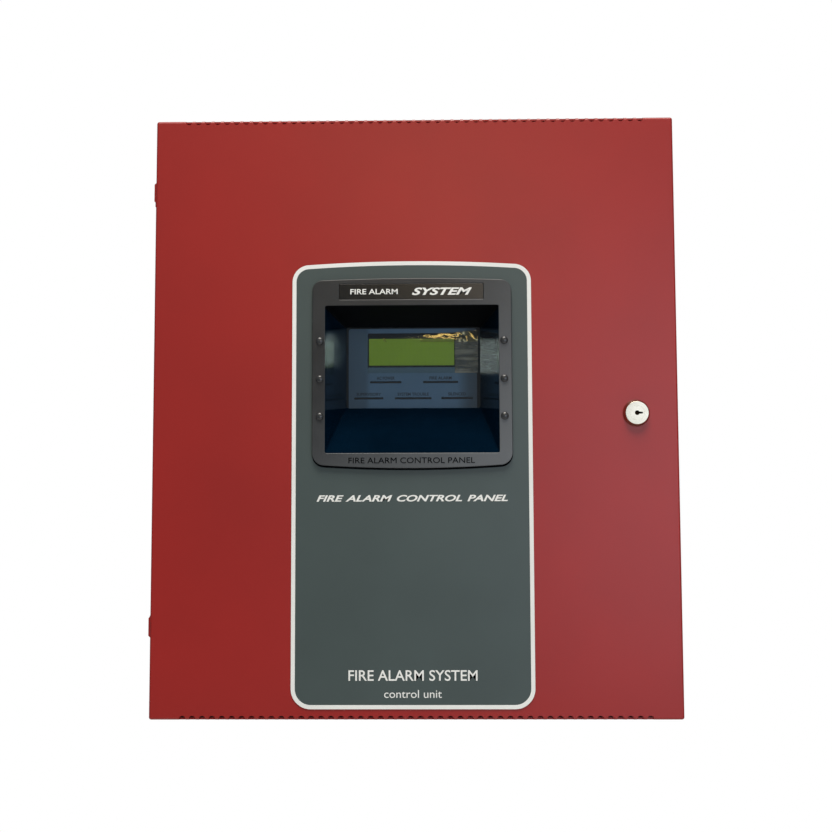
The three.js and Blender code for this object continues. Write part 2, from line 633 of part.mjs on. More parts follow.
// At rest the cam hangs straight down, clear of the strike, and the door is free to open.
function makeLockCam() {
  const { length, width, thickness, hole, y0 } = CAM;
  const half = width / 2;
  const shape = new THREE.Shape();
  shape.absarc(LOCK.x, LOCK.z, half, 0, Math.PI);
  shape.lineTo(LOCK.x - half, LOCK.z - length + 3);
  shape.lineTo(LOCK.x - half + 3, LOCK.z - length);
  shape.lineTo(LOCK.x + half - 3, LOCK.z - length);
  shape.lineTo(LOCK.x + half, LOCK.z - length + 3);
  shape.closePath();
  const cam = prismY(shape, y0, y0 + thickness, 8);
  const hub = rodY(hole, y0 - 1, y0 + thickness + 1, LOCK.x, LOCK.z, 10);
  addPiece('lock_cam', cam.subtract(hub), FINISH.zincSteel);
}

function makeCamScrew() {
  const seat = CAM.y0 + CAM.thickness + GAP;
  const shank = rodY(CAM.hole - 0.35, seat - 6, seat + 0.5, LOCK.x, LOCK.z, 10);
  const head = rodY(4.2, seat, seat + 2.4, LOCK.x, LOCK.z, 12);
  addPiece('cam_screw', shank.add(head), FINISH.zincSteel);
}

// ---------------------------------------------------------------- assembly

makeBackbox();
for (const [place, z] of Object.entries(HINGE_HEIGHTS)) {
  makeCabinetLeaf(`${place}_hinge_cabinet_leaf`, z);
  makeDoorLeaf(`${place}_hinge_door_leaf`, z);
  makeHingePin(`${place}_hinge_pin`, z);
}
makeLockStrike();
makeChassis();
makeMainBoard();
makeTerminalBlocks();
makeBatteries();
makeTransformer();
makeDisplayHousing();
makeDisplay();
makeKeys();
makeDoor();
makeLabel();
makeBezel();
makeNameplate();
makePane();
makeRivets();
makeLockBody();
makeLockNut();
makeLockPlug();
makeLockCam();
makeCamScrew();

export default panel;
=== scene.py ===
import math

import bmesh
import bpy
from mathutils import Matrix, Vector, noise


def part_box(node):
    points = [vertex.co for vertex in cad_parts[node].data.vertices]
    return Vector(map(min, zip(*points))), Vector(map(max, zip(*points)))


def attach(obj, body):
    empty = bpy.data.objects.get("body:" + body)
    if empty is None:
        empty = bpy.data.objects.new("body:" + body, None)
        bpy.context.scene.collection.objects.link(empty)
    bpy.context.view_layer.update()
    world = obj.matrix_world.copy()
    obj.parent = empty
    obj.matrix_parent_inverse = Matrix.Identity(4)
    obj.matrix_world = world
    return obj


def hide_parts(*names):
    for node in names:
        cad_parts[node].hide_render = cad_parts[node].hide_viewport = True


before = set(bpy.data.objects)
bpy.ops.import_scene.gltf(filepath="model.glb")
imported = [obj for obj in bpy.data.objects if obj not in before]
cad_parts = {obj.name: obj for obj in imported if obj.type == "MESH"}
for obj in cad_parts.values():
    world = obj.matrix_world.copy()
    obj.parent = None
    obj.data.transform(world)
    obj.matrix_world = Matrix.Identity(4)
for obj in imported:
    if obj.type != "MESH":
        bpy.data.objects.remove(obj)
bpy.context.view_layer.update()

bl_info = {
    "name": "Fire Alarm Control Panel",
    "version": (1, 0, 0),
    "blender": (4, 5, 0),
    "location": "View3D > Sidebar > Alarm Panel",
    "description": "Builds a wall-mounted fire alarm control panel, piece by piece, around its CAD frame",
    "category": "Object",
}

MM = 0.001


def to_linear(colour):
    """An sRGB hex colour as linear red, green, blue and alpha."""
    channels = [int(colour[i:i + 2], 16) / 255 for i in (1, 3, 5)]
    linear = [c / 12.92 if c <= 0.04045 else ((c + 0.055) / 1.055) ** 2.4 for c in channels]
    return (*linear, 1.0)


def to_mm(metres):
    return metres / MM


def cycles(size):
    """Pattern repeats per metre for a feature of this size in millimetres."""
    return 1000 / size


def span(node):
    """The two corners of a CAD node, in millimetres."""
    low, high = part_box(node)
    return low / MM, high / MM


# ---------------------------------------------------------------- sizes and colours


def length(name, description, millimetres):
    """A length that a user can change, kept in metres."""
    return bpy.props.FloatProperty(
        name=name, description=description, default=millimetres * MM, min=0.0,
        subtype="DISTANCE", unit="LENGTH",
    )


def paint(name, description, colour):
    """A colour that a user can change."""
    return bpy.props.FloatVectorProperty(
        name=name, description=description, default=to_linear(colour)[:3], size=3, min=0, max=1,
        subtype="COLOR",
    )


class AlarmPanelSizes(bpy.types.PropertyGroup):
    sheet: length("Sheet", "Thickness of the steel sheet of the door and the backbox", 1.5)
    bend: length("Bend", "Outside radius of the folded edges of the sheet", 2.0)
    vent_width: length("Vent width", "Width of each vent slot along the door's top and bottom", 5.5)
    vent_face: length("Vent on face", "How far each slot reaches over the door's face", 3.4)
    vent_flange: length("Vent on flange", "How far each slot reaches over the door's flange", 2.4)
    vent_pitch: length("Vent pitch", "Distance from one vent slot to the next", 7.94)
    border: length("Label border", "Width of the white line round the door label", 3.2)
    bezel_edge: length("Bezel edge", "Radius of the moulded edges of the bezel", 0.7)
    vent_count: bpy.props.IntProperty(
        name="Vents", description="Number of vent slots along each edge", default=48, min=0, max=60
    )


class AlarmPanelColours(bpy.types.PropertyGroup):
    enamel: paint("Enamel", "Powder coat of the door and the backbox", "#921912")
    label: paint("Label", "Ground of the printed door label", "#3c4846")
    bezel: paint("Bezel", "Moulded frame round the window", "#2a2c2d")
    funnel: paint("Funnel", "Glossy walls behind the window frame", "#02111f")
    overlay: paint("Overlay", "Ground of the film over the display", "#5d7c96")
    # The screen colour is also the colour of the screen's painted glow.
    screen: paint("Screen", "Lit ground of the character display", "#7d9a20")
    board: paint("Board", "Solder mask of the circuit boards", "#175233")


# ---------------------------------------------------------------- materials


def add(tree, kind, inputs=None, **settings):
    """Adds a node. Inputs are values, nodes that feed their first output, or the sockets that feed them."""
    made = tree.nodes.new("ShaderNode" + kind)
    for name, value in settings.items():
        setattr(made, name, value)
    for name, value in (inputs or {}).items():
        if isinstance(value, bpy.types.Node):
            value = value.outputs[0]
        if isinstance(value, bpy.types.NodeSocket):
            tree.links.new(value, made.inputs[name])
        else:
            made.inputs[name].default_value = value
    return made


def rgba(colour):
    """A hex string or a colour property as red, green, blue and alpha."""
    return to_linear(colour) if isinstance(colour, str) else (*colour, 1.0)


def shaded(colour, by):
    """A colour property made darker or lighter by a factor."""
    return tuple(min(1.0, c * by) for c in colour[:3])


def start_material(name):
    """An empty node material: its tree, and the socket that gives the place of each point."""
    material = bpy.data.materials.new(name)
    material.use_nodes = True
    tree = material.node_tree
    tree.nodes.clear()
    return tree, add(tree, "TexCoord").outputs["Object"]


def skin(tree, colour, relief, depth, gloss, marks=None, **sockets):
    """A shader whose height follows a relief, and whose roughness follows marks, or else the relief.

    Depth is in millimetres. Gloss is the lowest and highest roughness, or one roughness all over."""
    if isinstance(gloss, tuple):
        gloss = add(tree, "MapRange", {"Value": marks or relief, "To Min": gloss[0], "To Max": gloss[1]})
    bump = add(tree, "Bump", {"Height": relief, "Distance": depth * MM, "Strength": 1.0})
    return add(tree, "BsdfPrincipled", {"Base Color": colour, "Roughness": gloss, "Normal": bump, **sockets})


def coated(name, dark, light, patch, grain, depth, gloss, painted_sheen=None, **sockets):
    """A finish of two near colours in soft patches, with a fine grain in its height and its gloss.

    Patch, grain and depth are in millimetres. A painted sheen goes from dark to light between two distances
    along a line down to the right, where the lamps' sheen falls: light and shade painted into the colour."""
    tree, place = start_material(name)
    clouds = add(tree, "TexNoise", {"Vector": place, "Scale": cycles(patch), "Detail": 4.0})
    specks = add(tree, "TexNoise", {"Vector": place, "Scale": cycles(grain), "Detail": 3.0})
    blend = add(tree, "Math", {0: clouds, 1: 0.65}, operation="MULTIPLY")
    blend = add(tree, "Math", {0: specks, 1: 0.35, 2: blend}, operation="MULTIPLY_ADD")
    spread = add(tree, "MapRange", {"Value": blend, "From Min": 0.35, "From Max": 0.65})
    # Painted sheen: the colour gets lighter towards the lower right, where the lamps' sheen falls.
    if painted_sheen:
        along = add(tree, "VectorMath", {0: place, 1: (0.7071, 0, -0.7071)}, operation="DOT_PRODUCT")
        reach = {"Value": along.outputs["Value"], "From Min": painted_sheen[0] * MM, "From Max": painted_sheen[1] * MM}
        sheen_level = add(tree, "MapRange", reach)
        patches = add(tree, "Math", {0: spread, 1: 0.12}, operation="MULTIPLY")
        spread = add(tree, "Math", {0: sheen_level, 1: 0.88, 2: patches}, operation="MULTIPLY_ADD")
    mixed = add(tree, "Mix", {"Factor": spread, "A": rgba(dark), "B": rgba(light)}, data_type="RGBA")
    shader = skin(tree, mixed.outputs["Result"], specks, depth, gloss, **sockets)
    add(tree, "OutputMaterial", {"Surface": shader})


def see_through(name, tint, gloss, index, grain, depth, glint="#ffffff"):
    """A clear sheet: what is behind shows, and its surface mirrors more towards grazing angles."""
    tree, place = start_material(name)
    marks = add(tree, "TexNoise", {"Vector": place, "Scale": cycles(grain), "Detail": 3.0})
    bump = add(tree, "Bump", {"Height": marks, "Distance": depth * MM, "Strength": 1.0})
    fresnel = add(tree, "Fresnel", {"IOR": index, "Normal": bump})
    clear = add(tree, "BsdfTransparent", {"Color": rgba(tint)})
    mirror = add(tree, "BsdfAnisotropic", {"Color": rgba(glint), "Roughness": gloss, "Normal": bump})
    both = add(tree, "MixShader", {0: fresnel, 1: clear, 2: mirror})
    add(tree, "OutputMaterial", {"Surface": both})


def hazy_film(name, dark, light, gloss):
    """A cloudy clear sheet with level streaks, thick in some places and thin in others."""
    tree, place = start_material(name)
    stretch = {"Vector": place, "Scale": (0.1, 1.0, 1.0), "Rotation": (0, math.radians(-6), 0)}
    drawn = add(tree, "Mapping", stretch)
    streaks = add(tree, "TexNoise", {"Vector": drawn, "Scale": cycles(3.4), "Detail": 4.0})
    level = add(tree, "MapRange", {"Value": streaks, "From Min": 0.36, "From Max": 0.66})
    mixed = add(tree, "Mix", {"Factor": level, "A": rgba(dark), "B": rgba(light)}, data_type="RGBA")
    haze = skin(tree, mixed.outputs["Result"], streaks, 0.3, gloss, IOR=1.5)
    clear = add(tree, "BsdfTransparent", {"Color": (0.85, 0.86, 0.84, 1.0)})
    share = add(tree, "MapRange", {"Value": streaks, "To Min": 0.2, "To Max": 0.75})
    add(tree, "OutputMaterial", {"Surface": add(tree, "MixShader", {0: share, 1: clear, 2: haze})})


def margined_overlay(name, ground):
    """A satin overlay that is darker in a soft band down its left side and its right side."""
    tree, place = start_material(name)
    apart = add(tree, "SeparateXYZ", {"Vector": place})
    across = add(tree, "MapRange", {"Value": apart, "From Min": -57 * MM, "From Max": 53 * MM})
    bands = add(tree, "ValToRGB", {"Fac": across})
    stops = ((0.0, 0.55), (0.13, 0.62), (0.17, 0.98), (0.84, 1.0), (0.93, 0.45), (1.0, 0.3))
    ramp = bands.color_ramp.elements
    while len(ramp) < len(stops):
        ramp.new(0.5)
    for element, (at, level) in zip(ramp, stops):
        element.position = at
        element.color = (*(c * level for c in ground[:3]), 1.0)
    specks = add(tree, "TexNoise", {"Vector": place, "Scale": cycles(0.5), "Detail": 3.0})
    add(tree, "OutputMaterial", {"Surface": skin(tree, bands, specks, 0.005, (0.38, 0.48), IOR=1.5)})


def striped(name, dark, light, pitch, axis, depth, gloss, **sockets):
    """A finish ruled in fine parallel lines, such as stacked sheets or wound turns."""
    tree, place = start_material(name)
    apart = add(tree, "SeparateXYZ", {"Vector": place})
    turns = add(tree, "Math", {0: apart.outputs[axis], 1: cycles(pitch) * 2 * math.pi}, operation="MULTIPLY")
    waves = add(tree, "Math", {0: turns}, operation="SINE")
    level = add(tree, "MapRange", {"Value": waves, "From Min": -1.0, "From Max": 1.0})
    scuffs = add(tree, "TexNoise", {"Vector": place, "Scale": cycles(4), "Detail": 5.0})
    mixed = add(tree, "Mix", {"Factor": level, "A": rgba(dark), "B": rgba(light)}, data_type="RGBA")
    shader = skin(tree, mixed.outputs["Result"], level, depth, gloss, scuffs, **sockets)
    add(tree, "OutputMaterial", {"Surface": shader})


def ruled_grid(tree, place, colours, line, soft, wide, tall, **settings):
    """Cells of a flat grid that faces the front, with lines between them, all in millimetres."""
    cells = dict(zip(("Color1", "Color2", "Mortar"), colours))
    cells |= {"Mortar Size": line * MM, "Mortar Smooth": soft}
    cells |= {"Brick Width": wide * MM, "Row Height": tall * MM}
    flat = add(tree, "Mapping", {"Vector": place, "Rotation": (math.radians(-90), 0, 0)})
    return flat, add(tree, "TexBrick", {"Vector": flat, "Scale": 1.0, **cells}, **settings)


def character_screen(name, ground):
    """A supertwist character display: dark cells barely stand out from the yellow-green ground, which is
    given a painted glow.
    """
    low, high = span("lcd_glass")
    pitch = (high.x - low.x - 6) / 20
    tree, place = start_material(name)
    tones = [rgba(shaded(ground, level)) for level in (0.9, 0.93, 1)]
    cells = ruled_grid(tree, place, tones, 0.28, 0.3, pitch, 5.6, offset=0.0, squash=1.0)[1]
    clouds = add(tree, "TexNoise", {"Vector": place, "Scale": cycles(45), "Detail": 2.0})
    glow_patches = add(tree, "MapRange", {"Value": clouds, "To Min": 0.86, "To Max": 1.06})
    uneven = {"Factor": 1.0, "A": cells, "B": glow_patches}
    lit = add(tree, "Mix", uneven, data_type="RGBA", blend_type="MULTIPLY").outputs["Result"]
    # Painted glow: the screen gives off light in its own colour, which brightens it in its deep recess.
    glow = {"Emission Color": lit, "Emission Strength": 0.34}
    glass = add(tree, "BsdfPrincipled", {"Base Color": lit, "Roughness": 0.25, "IOR": 1.5, **glow})
    add(tree, "OutputMaterial", {"Surface": glass})


def circuit_laminate(name, mask):
    """Glass-epoxy laminate under a glossy solder mask, with copper tracks showing as lighter lines."""
    tree, place = start_material(name)
    black, white = (0, 0, 0, 1), (1, 1, 1, 1)
    flat, tracks = ruled_grid(tree, place, (black, black, white), 0.35, 0.1, 19, 2.54, offset=0.37)
    gaps = add(tree, "TexNoise", {"Vector": flat, "Scale": cycles(22), "Detail": 1.0})
    kept = add(tree, "MapRange", {"Value": gaps, "From Min": 0.47, "From Max": 0.53})
    copper = add(tree, "Math", {0: tracks.outputs["Fac"], 1: kept}, operation="MULTIPLY")
    tones = {"Factor": copper, "A": rgba(mask), "B": rgba(shaded(mask, 1.9))}
    mixed = add(tree, "Mix", tones, data_type="RGBA")
    shader = skin(tree, mixed.outputs["Result"], copper, 0.05, 0.3, IOR=1.52)
    add(tree, "OutputMaterial", {"Surface": shader})


def make_finishes(colours):
    """Every material of the panel, from what the real one is and how its surface was made."""
    enamel, label, bezel, funnel = colours.enamel, colours.label, colours.bezel, colours.funnel
    # Powder coat over steel: an orange-peel skin whose ripples break up the light a little.
    coated("powder_coated_steel", shaded(enamel, 0.93), shaded(enamel, 1.06), 90, 1.1, 0.015,
           (0.34, 0.44), IOR=1.5)
    # Screen-printed polyester: an even slate ground with a satin, slightly pebbled skin.
    coated("printed_polyester_label", shaded(label, 0.93), shaded(label, 1.07), 60, 0.6, 0.008,
           (0.4, 0.5), IOR=1.5)
    # Screen ink: a thin, bright, even film.
    coated("white_screen_ink", "#dedfd9", "#e6e7e2", 40, 0.8, 0.004, (0.5, 0.6), IOR=1.48)
    # ABS moulded against a spark-eroded tool: a fine leathery grain, with a painted sheen that goes from
    #     dark at its upper left to pale grey at its lower right, where the lamps' sheen falls.
    coated("textured_moulded_abs", shaded(bezel, 0.3), shaded(bezel, 4.2), 35, 0.7, 0.03,
           (0.34, 0.48), (-65, 92), IOR=1.53)
    # The same ABS on the domed fixings: a finer grain, so each shows one soft highlight.
    coated("satin_domed_abs", shaded(bezel, 0.9), shaded(bezel, 1.1), 12, 0.5, 0.008, (0.22, 0.3), IOR=1.53)
    # ABS moulded against a polished tool: nearly black, and it mirrors the windows sharply.
    coated("polished_moulded_abs", shaded(funnel, 0.85), shaded(funnel, 1.15), 60, 9, 0.006,
           (0.04, 0.07), IOR=1.42)
    # The same ABS made near black and dull as painted shade: on the funnel's top wall, where shade falls, and
    # on the strip of painted shadow under the frame; it also colours the frame's raised words.
    coated("matt_moulded_abs", "#030507", "#06080b", 30, 0.8, 0.02, (0.6, 0.7),
           **{"Specular IOR Level": 0.04})
    # Glossy printed strip: black with a hard edge to its reflections, and a painted sheen that makes it paler
    # to its lower right.
    coated("gloss_black_strip", "#06090d", "#302d29", 30, 3, 0.004, (0.2, 0.28), (-90, -32), IOR=1.45)
    # Nickel plate, polished: bright, with hairline scratches that soften the reflections.
    coated("polished_nickel_plate", "#aaa491", "#bdb7a4", 8, 0.35, 0.006, (0.16, 0.3), Metallic=1.0)
    # Brass of the key slot, warm where the plating doesn't reach, and painted dark as shade inside the hole.
    coated("shaded_keyway_brass", "#34271b", "#453424", 3, 0.4, 0.01, (0.4, 0.55), Metallic=1.0)
    # Zinc-plated steel, passivated: cool grey with faint cloudy patches.
    coated("zinc_plated_steel", "#9fa3a5", "#b9bcbc", 14, 0.5, 0.01, (0.28, 0.42), Metallic=1.0)
    # Overlay film with a satin print: blue-grey, darker down both sides.
    margined_overlay("satin_overlay_film", colours.overlay)
    # ABS of the display housing, with a light tool texture: made almost black and dull, as painted shade in
    # the dark gaps beside the film.
    coated("satin_moulded_abs", "#05080b", "#080c10", 40, 0.7, 0.02, (0.4, 0.52),
           **{"Specular IOR Level": 0.2})
    # Smoked lamp lens: almost black until it is lit.
    coated("smoked_polycarbonate", "#0a0d10", "#10151a", 6, 1.5, 0.003, (0.12, 0.2), IOR=1.58)
    # Black frame printed on the display glass.
    coated("black_glass_ink", "#08131e", "#0c1926", 12, 1, 0.003, (0.2, 0.3),
           **{"Specular IOR Level": 0.15})
    # Silicone rubber keys: soft grey, matt and slightly dusty.
    coated("moulded_silicone_rubber", "#a7abab", "#b7bab9", 8, 0.5, 0.01, (0.6, 0.75), IOR=1.41)
    # Grey legend ink on the keys and the overlay.
    coated("dark_legend_ink", "#14171b", "#1d2126", 10, 0.6, 0.003, (0.5, 0.6), IOR=1.48)
    # Polyamide terminal housings: green, with a dry satin skin.
    coated("moulded_green_polyamide", "#1f6d3c", "#2b8049", 12, 0.6, 0.012, (0.42, 0.55), IOR=1.53)
    # Epoxy of the chips: near black, sandblasted.
    coated("moulded_black_epoxy", "#17191b", "#212325", 6, 0.4, 0.012, (0.5, 0.65), IOR=1.55)
    # Blue relay covers: glossy moulded polyester.
    coated("moulded_blue_polyester", "#1c4c86", "#235a99", 10, 0.8, 0.006, (0.25, 0.35), IOR=1.53)
    # Tinned copper: soft silver of leads and pins.
    coated("tinned_copper", "#b9bbb9", "#cdcecb", 3, 0.4, 0.01, (0.22, 0.36), Metallic=1.0)
    # Shrink sleeve of the capacitors: dark blue-black film with a gloss.
    coated("shrink_sleeve", "#111a33", "#172445", 8, 1.2, 0.008, (0.22, 0.32), IOR=1.5)
    # Spun aluminium can tops: pale, with a fine drawn grain.
    coated("spun_aluminium", "#a9abad", "#c4c5c6", 2, 0.3, 0.008, (0.25, 0.4), Metallic=1.0)
    # Battery case, ABS: dark grey, coarse spark texture.
    coated("spark_textured_abs", "#2b2e33", "#35393f", 40, 0.9, 0.03, (0.5, 0.65), IOR=1.53)
    # Red ABS foot of a battery's positive blade: smooth, with a soft shine.
    coated("moulded_red_abs", "#a01d1a", "#b52521", 10, 0.7, 0.01, (0.35, 0.45), IOR=1.53)
    # Rolled silicon steel, stacked: dark edges of thin sheets, varnished.
    striped("varnished_steel_laminations", "#26272a", "#5a5c60", 1.0, "Y", 0.12, (0.35, 0.6), Metallic=0.8)
    # Polyester tape wound over the coil: amber with a raised edge at each turn.
    striped("wound_polyester_tape", "#a3741d", "#c99534", 6.0, "Z", 0.08, (0.25, 0.4), IOR=1.6)
    # Cast acrylic, polished: clear, so only its surface reflections show.
    see_through("cast_acrylic", "#eff4f6", 0.02, 1.38, 60, 0.001)
    # Protective film that was left on: clear and nearly flat over the screen.
    see_through("flat_protective_film", "#fbfbf7", 0.12, 1.22, 14, 0.02)
    # The same film where it has lifted and creased: warm glints along its folds.
    see_through("creased_protective_film", "#f4f1e8", 0.1, 2.1, 6, 0.04, "#ffe3ac")
    # Its loose flap: hazy, with long streaks where it was stretched.
    hazy_film("stretched_protective_film", "#6e675a", "#d2c5ab", 0.3)
    # Liquid crystal behind a polariser: even yellow-green with a painted glow, faintly ruled by its unlit
    # cells.
    character_screen("supertwist_screen", colours.screen)
    # Etched and masked laminate: deep green, with tracks a shade lighter and slightly raised.
    circuit_laminate("solder_masked_laminate", colours.board)


# A finish and the record's slot that goes with it.
ENAMEL = ("powder_coated_steel", "red_enamel")
ZINC = ("zinc_plated_steel", "zinc_steel")
NICKEL = ("polished_nickel_plate", "nickel_plate")
TIN = ("tinned_copper", "nickel_plate")
EPOXY = ("moulded_black_epoxy", "black_plastic")
LAMINATE = ("solder_masked_laminate", "circuit_board")
OVERLAY = ("satin_overlay_film", "fascia_plastic")
RUBBER = ("moulded_silicone_rubber", "silicone_rubber")
BATTERY_ABS = ("spark_textured_abs", "battery_case")


# ---------------------------------------------------------------- shaping


def slab(mesh, low, high):
    """Adds a box between two corners, in millimetres."""
    low, high = Vector(low), Vector(high)
    verts = bmesh.ops.create_cube(mesh, size=1)["verts"]
    bmesh.ops.scale(mesh, vec=high - low, verts=verts)
    bmesh.ops.translate(mesh, vec=(low + high) / 2, verts=verts)


def around(x, z, wide, tall, front, back):
    """The two corners of a box centred on x and z, from its front to its back."""
    return (x - wide / 2, front, z - tall / 2), (x + wide / 2, back, z + tall / 2)


def slabs(corners):
    """A new bmesh holding a box for each pair of corners."""
    mesh = bmesh.new()
    for low, high in corners:
        slab(mesh, low, high)
    return mesh


def rod(mesh, radius, start, finish_at, sides=24):
    """Adds a round rod from one point to another."""
    start, finish_at = Vector(start), Vector(finish_at)
    line = finish_at - start
    turn = line.to_track_quat("Z", "Y").to_matrix().to_4x4()
    at = Matrix.Translation((start + finish_at) / 2) @ turn
    bmesh.ops.create_cone(
        mesh, cap_ends=True, segments=sides, radius1=radius, radius2=radius, depth=line.length, matrix=at
    )


def turned(mesh, profile, centre, axis=(0, -1, 0), steps=48):
    """Adds a profile of (radius, rise) points turned about an axis through the centre."""
    centre, axis = Vector(centre), Vector(axis).normalized()
    out = axis.orthogonal().normalized()
    before = set(mesh.verts)
    points = [mesh.verts.new(centre + out * radius + axis * rise) for radius, rise in profile]
    lines = [mesh.edges.new(pair) for pair in zip(points, points[1:])]
    bmesh.ops.spin(
        mesh, geom=points + lines, cent=centre, axis=axis, angle=2 * math.pi, steps=steps, use_merge=True
    )
    bmesh.ops.remove_doubles(mesh, verts=[v for v in mesh.verts if v not in before], dist=1e-4)
    faces = {face for v in mesh.verts if v not in before for face in v.link_faces}
    bmesh.ops.recalc_face_normals(mesh, faces=list(faces))


def lathed(profile, centre, axis=(0, -1, 0), steps=48):
    """A new bmesh holding one turned shape."""
    mesh = bmesh.new()
    turned(mesh, profile, centre, axis, steps)
    return mesh


def slotted(mesh, radius, start, reach, depth_axis, low, high, sides=16):
    """Adds an obround prism: a circle drawn out by reach, pulled along depth_axis from low to high."""
    ahead, deep = Vector(reach), Vector(depth_axis)
    up = ahead.normalized()
    circle = bmesh.ops.create_circle(mesh, cap_ends=True, radius=radius, segments=sides)["verts"]
    turn = Matrix((deep.cross(up), up, deep)).transposed().to_4x4()
    bmesh.ops.transform(mesh, matrix=turn, verts=circle)
    bmesh.ops.translate(mesh, vec=ahead, verts=[v for v in circle if v.co.dot(up) > 1e-4])
    bmesh.ops.translate(mesh, vec=Vector(start) + deep * low, verts=circle)
    pulled = bmesh.ops.extrude_face_region(mesh, geom=[circle[0].link_faces[0]])["geom"]
    far = [v for v in pulled if isinstance(v, bmesh.types.BMVert)]
    bmesh.ops.translate(mesh, vec=deep * (high - low), verts=far)


def round_off(mesh, edges, width, segments=3):
    """Rounds the given edges off."""
    bmesh.ops.bevel(
        mesh, geom=list(edges), offset=width, offset_type="OFFSET", affect="EDGES", segments=segments,
        profile=0.5, material=-1, clamp_overlap=True,
    )


def edges_along(mesh, axis, keep=lambda middle: True):
    """The edges that run along an axis, 0 for X, 1 for Y or 2 for Z, and whose middle passes a test."""
    found = []
    for edge in mesh.edges:
        start, end = (v.co for v in edge.verts)
        if abs((end - start)[axis]) > 0.999 * (end - start).length and keep((start + end) / 2):
            found.append(edge)
    return found


def block(low, high, corner=0.0, segments=4, axis=1):
    """A new bmesh holding a box between two corners, with its edges along one axis rounded off."""
    mesh = slabs([(low, high)])
    if corner:
        round_off(mesh, edges_along(mesh, axis), corner, segments)
    return mesh


def crowned_plate(low, high, top=None, foot=None, wider=0.0):
    """A plate whose top and foot are each square or (corner radius, segments, how far it bows out).

    It can reach wider on its right than the plate on which the bows are centred."""
    rises = [end[2] if end else 0 for end in (top, foot)]
    mesh = block(low + Vector((0, 0, rises[1])), high + Vector((wider, 0, -rises[0])))
    middle = (low + high) / 2
    ends = [(end, way) for end, way in ((top, 1), (foot, -1)) if end]
    for (radius, segments, bow), way in ends:
        round_off(mesh, edges_along(mesh, 1, lambda m: (m.z - middle.z) * way > 0), radius, segments)
    for (radius, segments, bow), way in ends:
        level = high.z - bow if way > 0 else low.z + bow
        if bow:
            bow_edges(mesh, level, middle.x, high.x - middle.x - radius, way * bow)
    return mesh


def bow_edges(mesh, level, centre_x, half, crown):
    """Bows the long straight edges at one height outwards by crown, on both faces of a plate."""
    long_edges = edges_along(mesh, 0, lambda m: abs(m.z - level) < 1e-3 and abs(m.x - centre_x) < 1)
    bmesh.ops.subdivide_edges(mesh, edges=long_edges, cuts=31)
    for v in mesh.verts:
        if abs(v.co.z - level) < 1e-3:
            across = min(1.0, abs(v.co.x - centre_x) / half)
            v.co.z += crown * (1 - across * across)


def folded_tray(low, high, open_side, sheet, bend):
    """A sheet-steel tray: a box with one Y side left out, its other edges rounded, given a wall."""
    mesh = block(low, high)
    open_faces = [f for f in mesh.faces if f.normal.y * open_side > 0.9]
    bmesh.ops.delete(mesh, geom=open_faces, context="FACES")
    closed_y = low.y if open_side > 0 else high.y
    round_off(mesh, edges_at(mesh, closed_y) + edges_along(mesh, 1), bend, 4)
    bmesh.ops.recalc_face_normals(mesh, faces=mesh.faces)
    bmesh.ops.solidify(mesh, geom=mesh.faces[:], thickness=sheet)
    return mesh


def edges_at(mesh, y):
    """The edges that lie in the plane at one y."""
    return [e for e in mesh.edges if all(abs(v.co.y - y) < 1e-4 for v in e.verts)]


def carve(mesh, tools, operation="DIFFERENCE"):
    """Cuts the closed shapes of tools out of a bmesh, and returns what is left as a new bmesh."""
    bmesh.ops.recalc_face_normals(tools, faces=tools.faces)
    objects = []
    for source in (mesh, tools):
        data = bpy.data.meshes.new("carving")
        source.to_mesh(data)
        source.free()
        objects.append(bpy.data.objects.new("carving", data))
        bpy.context.scene.collection.objects.link(objects[-1])
    body, cutter = objects
    modifier = body.modifiers.new("carve", "BOOLEAN")
    modifier.operation = operation
    modifier.solver = "EXACT"
    modifier.object = cutter
    left = evaluated(body)
    for made in objects:
        data = made.data
        bpy.data.objects.remove(made)
        bpy.data.meshes.remove(data)
    return left


def evaluated(item):
    """An object's shape with its modifiers, or a text's letters, as a new merged bmesh."""
    shape = item.evaluated_get(bpy.context.evaluated_depsgraph_get())
    mesh = bmesh.new()
    mesh.from_mesh(shape.to_mesh())
    shape.to_mesh_clear()
    bmesh.ops.remove_doubles(mesh, verts=mesh.verts, dist=1e-4)
    return mesh


def linked(name, data):
    """A new object in the scene."""
    item = bpy.data.objects.new(name, data)
    bpy.context.scene.collection.objects.link(item)
    return item


def mesh_from(name, mesh, materials):
    """A mesh in metres from a finished bmesh in millimetres."""
    bmesh.ops.scale(mesh, vec=(MM, MM, MM), verts=mesh.verts)
    data = bpy.data.meshes.new(name)
    mesh.to_mesh(data)
    mesh.free()
    for material in materials:
        data.materials.append(bpy.data.materials[material])
    return data


def place_piece(name, mesh, materials, slot, body="cabinet", nodes=(), soften=0.0, segments=2):
    """Puts a finished bmesh in the scene, in metres, on the body that it moves with."""
    data = mesh_from(name, mesh, [materials] if isinstance(materials, str) else materials)
    data.shade_smooth()
    data.set_sharp_from_angle(angle=math.radians(32))
    piece = linked(name, data)
    if soften:
        bevel = piece.modifiers.new("soft_edges", "BEVEL")
        bevel.width = soften * MM
        bevel.segments = segments
        bevel.limit_method = "ANGLE"
        bevel.angle_limit = math.radians(32)
        bevel.harden_normals = True
    even = piece.modifiers.new("flat_faces_stay_flat", "WEIGHTED_NORMAL")
    even.keep_sharp = True
    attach(piece, body)
    if nodes:
        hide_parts(*nodes)


